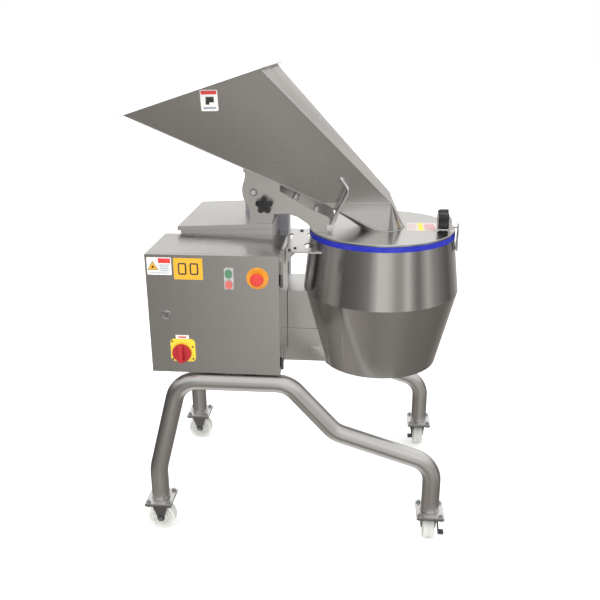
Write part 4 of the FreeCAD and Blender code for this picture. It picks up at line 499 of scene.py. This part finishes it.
class SLICER_OT_sheet_edges(bpy.types.Operator):
    """Rounds the folded edges of cabinet, housing, hopper and covers"""
    bl_idname = "slicer.sheet_edges"
    bl_label = "Sheet edges"

    def execute(self, context):
        sizes = context.scene.slicer_sizes
        soften("cabinet_door", 1.6 * sizes.sheet_edge, segments=3)
        for node in ("control_cabinet", "housing_roof", "drive_housing", "belt_case", "drive_tunnel"):
            soften(node, sizes.sheet_edge)
        soften("main_column", 5 * MM, segments=3)
        soften("cross_rails", 4 * MM, segments=3)
        throat = soften("feed_throat", 0.4 * MM, segments=1, angle=60, sharp=4.0)
        throat.data.materials.append(finish_of("facet_bright"))
        throat.data.materials.append(finish_of("facet_mid"))
        # Alternate facets of the throat's front right fan get the bright and the dark copy: painted highlight
        # and painted shade on its creases.
        facet = 15.0
        for face in throat.data.polygons:
            swing = math.degrees(math.atan2(face.normal.x, -face.normal.y))
            if 5 < swing < 85 and face.center.z > LID_TOP_Z + 5 * MM and face.center.x > DRUM_X:
                face.material_index = 1 + int(swing / facet) % 2
        for node in ("hopper", "lid_plate", "hinge_arms", "hinge_pedestal", "cradle_plate",
                     "leg_plates", "latch_keeper", "isolator_plate", "button_bezel"):
            soften(node, sizes.plate_edge)
        return {"FINISHED"}


class SLICER_OT_door_markings(bpy.types.Operator):
    """Adds plain, wordless labels to the cabinet door"""
    bl_idname = "slicer.door_markings"
    bl_label = "Door markings"

    def execute(self, context):
        depth = context.scene.slicer_sizes.label_depth
        face = DOOR_FACE_Y - depth / 2
        raised = DOOR_FACE_Y - depth - 0.15 * MM

        def patch(bm, across, down, width, height, y=raised, corner=0.0):
            """A flat field; across and down are its middle's millimetres from the door's top left corner."""
            middle = (DOOR_LEFT_X + across * MM, y, DOOR_TOP_Z - down * MM)
            slab(bm, middle, (width * MM, depth, height * MM), corner)

        def label(name, key, across, down, width, height, y=face, corner=2 * MM):
            bm = bmesh.new()
            patch(bm, across, down, width, height, y, corner)
            finish_piece(name, bm, key, "door")

        label("warning_label", "paper", 47.5, 39.5, 81, 59)
        for name, key, radius, drop in (("warning_triangle_edge", "ink", 20.0, 0.0),
                                        ("warning_triangle", "label_yellow", 17.0, 0.2),
                                        ("warning_triangle_core", "ink", 6.5, 0.4)):
            bm = bmesh.new()
            middle = (DOOR_LEFT_X + 26.5 * MM, raised - drop * MM, DOOR_TOP_Z - 42.5 * MM)
            triangle(bm, middle, radius * MM, depth)
            finish_piece(name, bm, key, "door")
        label("warning_band", "label_red", 65, 21, 40, 16, raised, 0.5 * MM)
        bm = bmesh.new()
        for n in range(4):
            patch(bm, 64.5, 35.5 + 6.5 * n, 34 - 7 * (n % 2), 3)
        patch(bm, 47.5, 62.5, 60, 2.2)
        finish_piece("warning_lines", bm, "label_grey", "door")
        label("rating_label", "label_yellow", 142.5, 47, 95, 72)
        for name, key, inset, drop in (("rating_blocks", "ink", 0, 0.0),
                                       ("rating_cores", "label_yellow", 5, 0.2)):
            bm = bmesh.new()
            for across in (123, 162):
                patch(bm, across, 47, 28 - 2 * inset, 40 - 2 * inset, raised - drop * MM, (6 - inset) * MM)
            finish_piece(name, bm, key, "door")
        label("isolator_label", "paper", 109.5, 285.75, 45, 13.5, corner=1 * MM)
        label("isolator_label_bar", "label_red", 109.5, 286, 27, 5, raised, 0.4 * MM)
        return {"FINISHED"}


class SLICER_OT_door_controls(bpy.types.Operator):
    """Details the push buttons, the stop button, the main switch and the lock"""
    bl_idname = "slicer.door_controls"
    bl_label = "Door controls"

    def execute(self, context):
        soften("estop_head", 1.5 * MM, segments=3)
        collar = soften("estop_collar", 0.4 * MM)
        neck_y, press_room = DOOR_FACE_Y - 4.5 * MM, 0.4 * MM
        for vertex in collar.data.vertices:
            if vertex.co.y < neck_y:
                vertex.co.y += press_room
        soften("start_button", 1.2 * MM, segments=3)
        soften("stop_button", 1.2 * MM, segments=3)
        soften("door_lock", 0.5 * MM)
        (x1, y1, z1), (x2, _, z2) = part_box("isolator_plate")
        bm = bmesh.new()
        for x, z in ((x1 + 7 * MM, z1 + 8 * MM), (x2 - 8 * MM, z1 + 10 * MM), (x1 + 7 * MM, z2 - 8 * MM),
                     (x2 - 8 * MM, z2 - 26 * MM)):
            disc(bm, (x, y1 - 0.6 * MM, z), 3.0 * MM, 1.6 * MM)
        finish_piece("isolator_screws", bm, "dark_steel", "door")
        self.dial()
        rim = centre_of("estop_collar")
        rim.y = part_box("estop_collar")[0][1] + 2.2 * MM
        bm = bmesh.new()
        bead_ring(bm, rim, COLLAR_RIM_RADIUS, 1.3 * MM, "Y", 72)
        finish_piece("estop_collar_rim", bm, "collar_yellow", "door")
        self.lock()
        for name, key in (("start_button", "green_plastic"), ("stop_button", "stop_lens")):
            middle, front_y = centre_of(name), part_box(name)[0][1]
            bm = bmesh.new()
            slab(bm, (middle.x, front_y - 2.1 * MM, middle.z), (22 * MM, 1.2 * MM, 27 * MM), 8 * MM, 6)
            disc(bm, (middle.x, front_y - 0.8 * MM, middle.z), 10 * MM, 1.8 * MM)
            finish_piece(name + "_lens", bm, key, name)
        return {"FINISHED"}

    @staticmethod
    def lock():
        """The lock's rim on the door, its turning core in dark steel as painted shade of the lock's recess,
        and the key bar.
        """
        (x1, front_y, z1), (x2, _, _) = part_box("door_lock")
        x, z = (x1 + x2) / 2, z1 + (x2 - x1) / 2
        bm = bmesh.new()
        bead_ring(bm, (x, DOOR_FACE_Y - 0.6 * MM, z), 14.0 * MM, 1.4 * MM, "Y", 48)
        finish_piece("lock_rim", bm, "polished_steel", "door")
        # The core's dark disc is painted shade of the recess in the lock.
        bm = bmesh.new()
        disc(bm, (x, front_y - 0.5 * MM, z), 7.0 * MM, 1.4 * MM, sides=40)
        finish_piece("lock_core_painted_shade", bm, "dark_steel", "door_lock")
        bm = bmesh.new()
        slab(bm, (x, front_y - 1.4 * MM, z), (3 * MM, 1.0 * MM, 9 * MM), 1.4 * MM)
        finish_piece("lock_key_bar", bm, "polished_steel", "door_lock")

    @staticmethod
    def dial():
        """The main switch's turning dial with its rounded grip bar and grip notches."""
        (x1, y1, z1), (x2, y2, z2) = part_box("isolator_handle")
        x, z = (x1 + x2) / 2, (z1 + z2) / 2
        rim_y, notches, notch_ring = y1 + 22 * MM, 24, 30.6 * MM
        bm = bmesh.new()
        disc(bm, (x, rim_y, z), 32 * MM, 8 * MM, sides=64)
        edges = [e for e in bm.edges
                 if len(e.link_faces) == 2 and e.calc_face_angle() > 1 and e.verts[0].co.y < rim_y - 2 * MM]
        bmesh.ops.bevel(bm, geom=edges, offset=2.5 * MM, segments=3, profile=0.5, affect="EDGES", material=-1)
        grip = bmesh.new()
        slab(grip, (x, y1 + 10 * MM, z), (15 * MM, 20 * MM, 58 * MM))
        bmesh.ops.bevel(grip, geom=list(grip.edges), offset=3 * MM, segments=4, profile=0.5,
                        affect="EDGES", material=-1)
        grip_mesh = bpy.data.meshes.new("grip")
        grip.to_mesh(grip_mesh)
        grip.free()
        bm.from_mesh(grip_mesh)
        bpy.data.meshes.remove(grip_mesh)
        disc(bm, (x, (y1 + y2) / 2 + 13 * MM, z), 6 * MM, y2 - y1 - 26 * MM)
        for n in range(notches):
            a = math.radians(360 / notches * n)
            place = (x + notch_ring * math.cos(a), rim_y, z + notch_ring * math.sin(a))
            disc(bm, place, 1.4 * MM, 8.2 * MM, sides=10)
        dial = finish_piece("isolator_dial", bm, "dial_red", "isolator_handle")
        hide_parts("isolator_handle")


class SLICER_OT_knobs(bpy.types.Operator):
    """Rounds the star knobs and gives them their steel studs and caps"""
    bl_idname = "slicer.knobs"
    bl_label = "Star knobs"

    def execute(self, context):
        edge = context.scene.slicer_sizes.knob_edge
        for node, axis, stud in (("latch_knob", 0, LATCH_STUD_X), ("hinge_clamp_knob", 1, CLAMP_STUD_Y)):
            piece = soften(node, edge, segments=3)
            piece.data.materials.append(finish_of("polished_steel"))
            for face in piece.data.polygons:
                if face.center[axis] > stud:
                    face.material_index = 1
        cap = centre_of("hinge_clamp_knob")
        cap.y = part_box("hinge_clamp_knob")[0][1] - 0.2 * MM
        bm = bmesh.new()
        disc(bm, cap, 8.5 * MM, 2.4 * MM)
        finish_piece("hinge_knob_cap", bm, "black_plastic", "hinge_clamp_knob")
        pin = centre_of("hinge_shaft")
        pin.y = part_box("hinge_shaft")[0][1]
        bm = bmesh.new()
        disc(bm, pin + Vector((0, -1.4 * MM, 0)), 9 * MM, 5.6 * MM, sides=6, radius_far=8.4 * MM)
        disc(bm, pin + Vector((0, -4.4 * MM, 0)), 4.5 * MM, 1.2 * MM, sides=24)
        finish_piece("hinge_bolt_head", bm, "bright_nut", "lid_assembly", 20)
        # The washer's dark steel is a painted shade ring round the bolt head.
        bm = bmesh.new()
        disc(bm, pin + Vector((0, 4.2 * MM, 0)), 13 * MM, 1.6 * MM, sides=48)
        finish_piece("hinge_washer", bm, "fork_steel", "lid_assembly")
        bm = bmesh.new()
        run = (HANDLE_BEND - HANDLE_FOOT).normalized()
        for start, length, radius in ((20 * MM, 20 * MM, 9.0 * MM), (44 * MM, 7 * MM, 8.0 * MM),
                                      (56 * MM, 42 * MM, 7.4 * MM)):
            bar_between(bm, HANDLE_FOOT + run * start, HANDLE_FOOT + run * (start + length), radius, 32)
        back = (HANDLE_TIP - HANDLE_BEND).normalized()
        bar_between(bm, HANDLE_TIP - back * (4 * MM), HANDLE_TIP - back * (14 * MM), 8.5 * MM, 32, 7.2 * MM)
        finish_piece("handle_sleeves", bm, "bright_nut", "lid_assembly")
        return {"FINISHED"}


class SLICER_OT_welds(bpy.types.Operator):
    """Adds dressed weld beads to the drum, legs and throat, and bright bars as a painted highlight along the
    hopper's folds and the lid's rim
    """
    bl_idname = "slicer.welds"
    bl_label = "Welds"

    def execute(self, context):
        bead = context.scene.slicer_sizes.weld_bead
        bm = bmesh.new()
        bead_ring(bm, (DRUM_X, 0, DRUM_SEAM_Z), DRUM_SEAM_RADIUS, 1.3 * MM, "Z", 160, 6)
        finish_piece("drum_seam", bm, "weld", "base")
        leg = centre_of("left_front_wheel")
        leg_foot_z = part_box("leg_plates")[1][2] + 0.5 * MM
        bm = bmesh.new()
        for x in (leg.x, -leg.x):
            for y in (leg.y, -leg.y):
                bead_ring(bm, (x, y, leg_foot_z), LEG_WELD_RADIUS, bead, "Z", 48)
        finish_piece("leg_welds", bm, "weld", "base")
        bolt_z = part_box("cradle_plate")[1][2] + 1.0 * MM
        bm = bmesh.new()
        for x, y, radius in ((-5, 123, 7.0), (-8, -119, 5.2), (-25, -145, 5.2)):
            disc(bm, (x * MM, y * MM, bolt_z), radius * MM, 5.0 * MM, "Z", 6)
        finish_piece("cradle_bolts", bm, "dark_steel", "base", 20)
        bm = bmesh.new()
        bead_ring(bm, (DRUM_X, 0, LID_TOP_Z), THROAT_RADIUS, bead, "Z", 72)
        finish_piece("throat_weld", bm, "weld", "lid_assembly")
        # Bright bars along the hopper's folds: a painted highlight of the fold lines.
        bm = bmesh.new()
        for side in (-1, 1):
            mouth_low, mouth_high, outlet_left, outlet_right = hopper_side(side)
            bar_between(bm, mouth_low, outlet_left, 1.7 * MM, 10)
            bar_between(bm, mouth_high, outlet_right, 1.7 * MM, 10)
            bar_between(bm, outlet_left, outlet_right, 1.2 * MM, 10)
        finish_piece("hopper_folds", bm, "fold", "lid_assembly")
        # The lid's rim ring in the same bright steel: a painted highlight of the rolled edge.
        bm = bmesh.new()
        bead_ring(bm, (DRUM_X, 0, LID_TOP_Z - 0.6 * MM), LID_RIM_RADIUS, 1.6 * MM, "Z", 160)
        finish_piece("lid_rim", bm, "fold", "lid_assembly")
        return {"FINISHED"}


class SLICER_OT_rear_panel(bpy.types.Operator):
    """Adds the screwed service panel with cooling louvres behind the drive housing"""
    bl_idname = "slicer.rear_panel"
    bl_label = "Rear service panel"

    def execute(self, context):
        (x1, _, z1), (x2, back, z2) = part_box("drive_housing")
        margin, louvres, pitch, screws = 70 * MM, 9, 17 * MM, 4
        middle, low, high = (x1 + x2) / 2, z1 + margin, z2 - margin
        bm = bmesh.new()
        slab(bm, (middle, back + 0.75 * MM, (low + high) / 2), (250 * MM, 1.5 * MM, high - low), 10 * MM, 5)
        finish_piece("service_panel", bm, "plate", "base")
        hoods, painted_shade_strips = bmesh.new(), bmesh.new()
        for n in range(louvres):
            height = low + 60 * MM + pitch * n
            ends = [(middle + side * 75 * MM, back + 1.0 * MM, height) for side in (-1, 1)]
            bar_between(hoods, *ends, 4 * MM)
            # A black strip under each louvre's hood is painted shade in its opening.
            slab(painted_shade_strips, (middle, back + 4.2 * MM, height - 3.5 * MM), (140 * MM, 1.0 * MM, 3.0 * MM))
        finish_piece("panel_louvres", hoods, "plate", "base")
        finish_piece("louvre_painted_shade", painted_shade_strips, "ink", "base")
        bm = bmesh.new()
        first, last = low + 12 * MM, high - 12 * MM
        for x in (middle - 113 * MM, middle + 113 * MM):
            for n in range(screws):
                place = (x, back + 2.6 * MM, first + n * (last - first) / (screws - 1))
                disc(bm, place, 5.0 * MM, 2.2 * MM, sides=24)
        finish_piece("panel_screws", bm, "polished_steel", "base")
        (side_x, _, floor_z), (_, rear_y, _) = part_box("control_cabinet")
        bm = bmesh.new()
        for n, radius in enumerate((11 * MM, 11 * MM, 8 * MM)):
            y, z = rear_y - 40 * MM * (n + 1), floor_z + 60 * MM
            disc(bm, (side_x - 3 * MM, y, z), radius, 6 * MM, "X", 6)
            disc(bm, (side_x - 9 * MM, y, z), radius * 0.75, 8 * MM, "X", 32)
        finish_piece("cable_glands", bm, "grey_plastic", "base", 20)
        return {"FINISHED"}


class SLICER_OT_casters(bpy.types.Operator):
    """Details the casters: hub caps, axle nuts and lever pads"""
    bl_idname = "slicer.casters"
    bl_label = "Casters"

    def execute(self, context):
        for node in ("right_front_brake", "right_rear_brake"):
            soften(node, 1.5 * MM)
        for node in ("right_front_fork", "right_rear_fork", "rigid_casters"):
            soften(node, 0.6 * MM, segments=1)
        for node in ("left_front_wheel", "left_rear_wheel", "right_front_wheel", "right_rear_wheel"):
            axis = 1 if node.startswith("left") else 0
            letter = "XYZ"[axis]
            middle = centre_of(node)
            rings, hubs = bmesh.new(), bmesh.new()
            for side in (-1, 1):
                place = middle.copy()
                place[axis] += side * 19.0 * MM
                bead_ring(rings, place, 33 * MM, 1.6 * MM, letter, 48)
                bead_ring(rings, place, 24 * MM, 1.2 * MM, letter, 40)
                place[axis] = middle[axis] + side * 22.2 * MM
                bead_ring(hubs, place, 9.5 * MM, 1.2 * MM, letter, 32)
            finish_piece(node + "_rings", rings, "white_nylon", BODY_OF[node])
            finish_piece(node + "_hub_seals", hubs, "dark_steel", BODY_OF[node])
        bm = bmesh.new()
        for node in ("left_front_wheel", "left_rear_wheel"):
            hub = centre_of(node)
            for side in (-1, 1):
                disc(bm, (hub.x, hub.y + side * 34 * MM, hub.z), 8.5 * MM, 5 * MM, sides=6)
        finish_piece("axle_nuts", bm, "zinc_steel", "base", 20)
        return {"FINISHED"}


class SLICER_OT_lid_markings(bpy.types.Operator):
    """Adds plain, wordless labels to the lid and the hopper's side"""
    bl_idname = "slicer.lid_markings"
    bl_label = "Lid and hopper markings"

    def execute(self, context):
        depth = context.scene.slicer_sizes.label_depth
        lid = centre_of("lid_plate")
        base_z = LID_TOP_Z + depth / 2
        raised_z = base_z + 0.4 * MM

        def flat(bm, right, back, width, length, z, corner=0.0):
            """A flat field on the lid, in millimetres from the middle of the lid."""
            slab(bm, (lid.x + right * MM, lid.y + back * MM, z), (width * MM, length * MM, depth),
                 corner, axis="Z")

        for name, key, right, back, width, length, z in (
                ("lid_label", "label_pale", 141, -1, 106, 122, base_z),
                ("lid_label_yellow", "yellow_plastic", 136, -1.5, 16, 107, raised_z),
                ("lid_label_pink", "label_pink", 168, -2, 36, 96, raised_z)):
            bm = bmesh.new()
            flat(bm, right, back, width, length, z, 2 * MM)
            finish_piece(name, bm, key, "lid_assembly")
        bm = bmesh.new()
        for n in range(4):
            flat(bm, 106, -40 + 24 * n, 28, 6, raised_z)
        finish_piece("lid_label_lines", bm, "label_pink", "lid_assembly")
        self.hopper_label(depth)
        return {"FINISHED"}

    @staticmethod
    def hopper_label(depth):
        """A plain label on the hopper's front side, in the plane through three of its corners."""
        low, high, _, outlet = hopper_side(-1)
        normal = (high - low).cross(outlet - low).normalized()
        if normal.y > 0:
            normal.negate()
        across = Vector((1, 0, 0)) - normal * normal.x
        across.normalize()
        up = across.cross(normal)
        if up.z < 0:
            up.negate()
        turn = Matrix((across, normal, up)).transposed().to_4x4()
        middle = Vector((-0.2695, 0, 1.5235))
        middle.y = low.y - (normal.x * (middle.x - low.x) + normal.z * (middle.z - low.z)) / normal.y

        for name, key, right, rise, width, height, layer in (
                ("hopper_label", "paper", 0, 0, 55, 68, 0.5),
                ("hopper_label_band", "label_red", 0, 25.5, 49, 12, 1.5),
                ("hopper_label_picture", "ink", 2, 3, 26, 18, 1.5),
                ("hopper_label_picture_bar", "ink", -6, -8, 12, 10, 1.5),
                ("hopper_label_lines", "label_grey", 0, -24, 40, 6, 1.5)):
            bm = bmesh.new()
            slab(bm, (0, 0, 0), (width * MM, depth, height * MM), min(width, height) * 0.08 * MM)
            place = middle + across * (right * MM) + up * (rise * MM) + normal * (depth * layer)
            bmesh.ops.transform(bm, matrix=Matrix.Translation(place) @ turn, verts=bm.verts)
            bmesh.ops.recalc_face_normals(bm, faces=bm.faces)
            finish_piece(name, bm, key, "lid_assembly")


CAMERA_PLACE = (0.2330, -2.5848, 1.7184)
CAMERA_TURN = (70.244, 0.258, 5.115)
CAMERA_LENS = 44.33
SENSOR_WIDTH = 36.0
SUNS = (("key", (38, -14, -30), 1.5, 50), ("fill", (42, 10, 48), 0.9, 60), ("top", (-12, 0, 0), 0.9, 70))


class SLICER_OT_stage(bpy.types.Operator):
    """Sets up the floor, the soft surroundings, the lights and the camera"""
    bl_idname = "slicer.stage"
    bl_label = "Stage"

    def execute(self, context):
        scene = context.scene
        scene.view_settings.view_transform = "Standard"
        bm = bmesh.new()
        bmesh.ops.create_grid(bm, x_segments=1, y_segments=1, size=40.0)
        mesh = bpy.data.meshes.new("studio_floor")
        bm.to_mesh(mesh)
        bm.free()
        floor = bpy.data.objects.new("studio_floor", mesh)
        scene.collection.objects.link(floor)
        mesh.materials.append(finish_of("stage"))
        floor.visible_glossy = False

        camera = bpy.data.objects.new("camera", bpy.data.cameras.new("camera"))
        camera.data.lens = CAMERA_LENS
        camera.data.sensor_width = SENSOR_WIDTH
        camera.location = CAMERA_PLACE
        camera.rotation_euler = [math.radians(a) for a in CAMERA_TURN]
        scene.collection.objects.link(camera)
        scene.camera = camera

        for name, tilt, energy, spread in SUNS:
            light = bpy.data.objects.new(name, bpy.data.lights.new(name, "SUN"))
            light.data.energy = energy
            light.data.angle = math.radians(spread)
            light.rotation_euler = [math.radians(a) for a in tilt]
            light.visible_glossy = False
            scene.collection.objects.link(light)
        self.surroundings(scene)
        return {"FINISHED"}

    @staticmethod
    def surroundings(scene):
        """A pale studio: darker towards the floor, with soft bright and dark strips all round."""
        world = bpy.data.worlds.new("studio")
        scene.world = world
        world.use_nodes = True
        recipe = Recipe(world.node_tree)
        back = world.node_tree.nodes["Background"]
        direction = recipe.node("ShaderNodeTexCoord", output="Generated")
        split = recipe.node("ShaderNodeSeparateXYZ", {}, {0: direction}).socket.node
        x, y, z = (Wire(recipe, split.outputs[n]) for n in range(3))
        azimuth = recipe.node("ShaderNodeMath", {"operation": "ARCTAN2"}, {0: x, 1: y * -1.0})
        turn = azimuth * (0.5 / math.pi) + 0.5

        def stops(pairs, warm=0.05):
            """Ramp stops from pairs of a compass angle and a level of light."""
            return [((degrees + 180) / 360, (level * (1 + warm), level, level * (1 - warm)))
                    for degrees, level in pairs]

        strips = recipe.ramp(turn, stops((
            (-180, 0.60), (-150, 0.40), (-142, 0.14), (-108, 0.03), (-84, 0.07), (-50, 0.10), (-34, 0.13),
            (-17, 0.22), (-13, 0.36), (-8, 0.48), (-4, 0.70), (10, 0.66), (24, 0.33), (31, 0.36), (40, 0.66),
            (49, 0.28), (57, 0.14), (66, 0.34), (73, 0.52), (84, 0.30), (100, 0.18), (118, 0.10), (140, 0.30),
            (160, 0.55), (180, 0.60))))
        ground = recipe.ramp(turn, stops((
            (-180, 0.30), (-115, 0.15), (-86, 0.26), (-60, 0.31), (-36, 0.26), (-12, 0.20), (8, 0.22),
            (25, 0.24), (60, 0.19), (121, 0.15), (180, 0.30)), 0.09))
        above = recipe.ramp(turn, stops((
            (-180, 1.12), (-90, 0.60), (-30, 0.72), (30, 0.85), (90, 0.72), (180, 1.12)), 0.01))
        bounce = recipe.mix(recipe.clamp(z, -0.97, -0.84), (0.75, 0.74, 0.72), ground)
        lower = recipe.mix(recipe.clamp(z, -0.56, -0.28), bounce, strips)
        surround = recipe.mix(recipe.clamp(z, 0.05, 0.50), lower, above)
        seen = recipe.node("ShaderNodeLightPath", output="Is Camera Ray")
        recipe.feed(back.inputs["Color"], recipe.mix(seen, surround, (1.0, 1.0, 1.0)))
        back.inputs["Strength"].default_value = 1.0


# ------------------------------------------------------------------ panel and registration

OPERATORS = (SLICER_OT_frame_finishes, SLICER_OT_sheet_edges, SLICER_OT_door_markings,
             SLICER_OT_door_controls, SLICER_OT_knobs, SLICER_OT_welds, SLICER_OT_rear_panel,
             SLICER_OT_casters, SLICER_OT_lid_markings, SLICER_OT_stage)


class SLICER_PT_panel(bpy.types.Panel):
    """Lists the slicer's pieces and settings"""
    bl_idname = "SLICER_PT_panel"
    bl_label = "Vegetable slicer"
    bl_space_type = "VIEW_3D"
    bl_region_type = "UI"
    bl_category = "Slicer"

    def draw(self, context):
        for group in (context.scene.slicer_sizes, context.scene.slicer_colours):
            for key in group.__annotations__:
                self.layout.prop(group, key)
        for operator in OPERATORS:
            self.layout.operator(operator.bl_idname)


CLASSES = (SlicerColours, SlicerSizes, *OPERATORS, SLICER_PT_panel)


def register():
    for item in CLASSES:
        bpy.utils.register_class(item)
    bpy.types.Scene.slicer_colours = PointerProperty(type=SlicerColours)
    bpy.types.Scene.slicer_sizes = PointerProperty(type=SlicerSizes)


def unregister():
    del bpy.types.Scene.slicer_sizes
    del bpy.types.Scene.slicer_colours
    for item in reversed(CLASSES):
        bpy.utils.unregister_class(item)


def main():
    register()
    for operator in OPERATORS:
        group, call = operator.bl_idname.split(".")
        getattr(getattr(bpy.ops, group), call)()


if __name__ == "__main__":
    main()
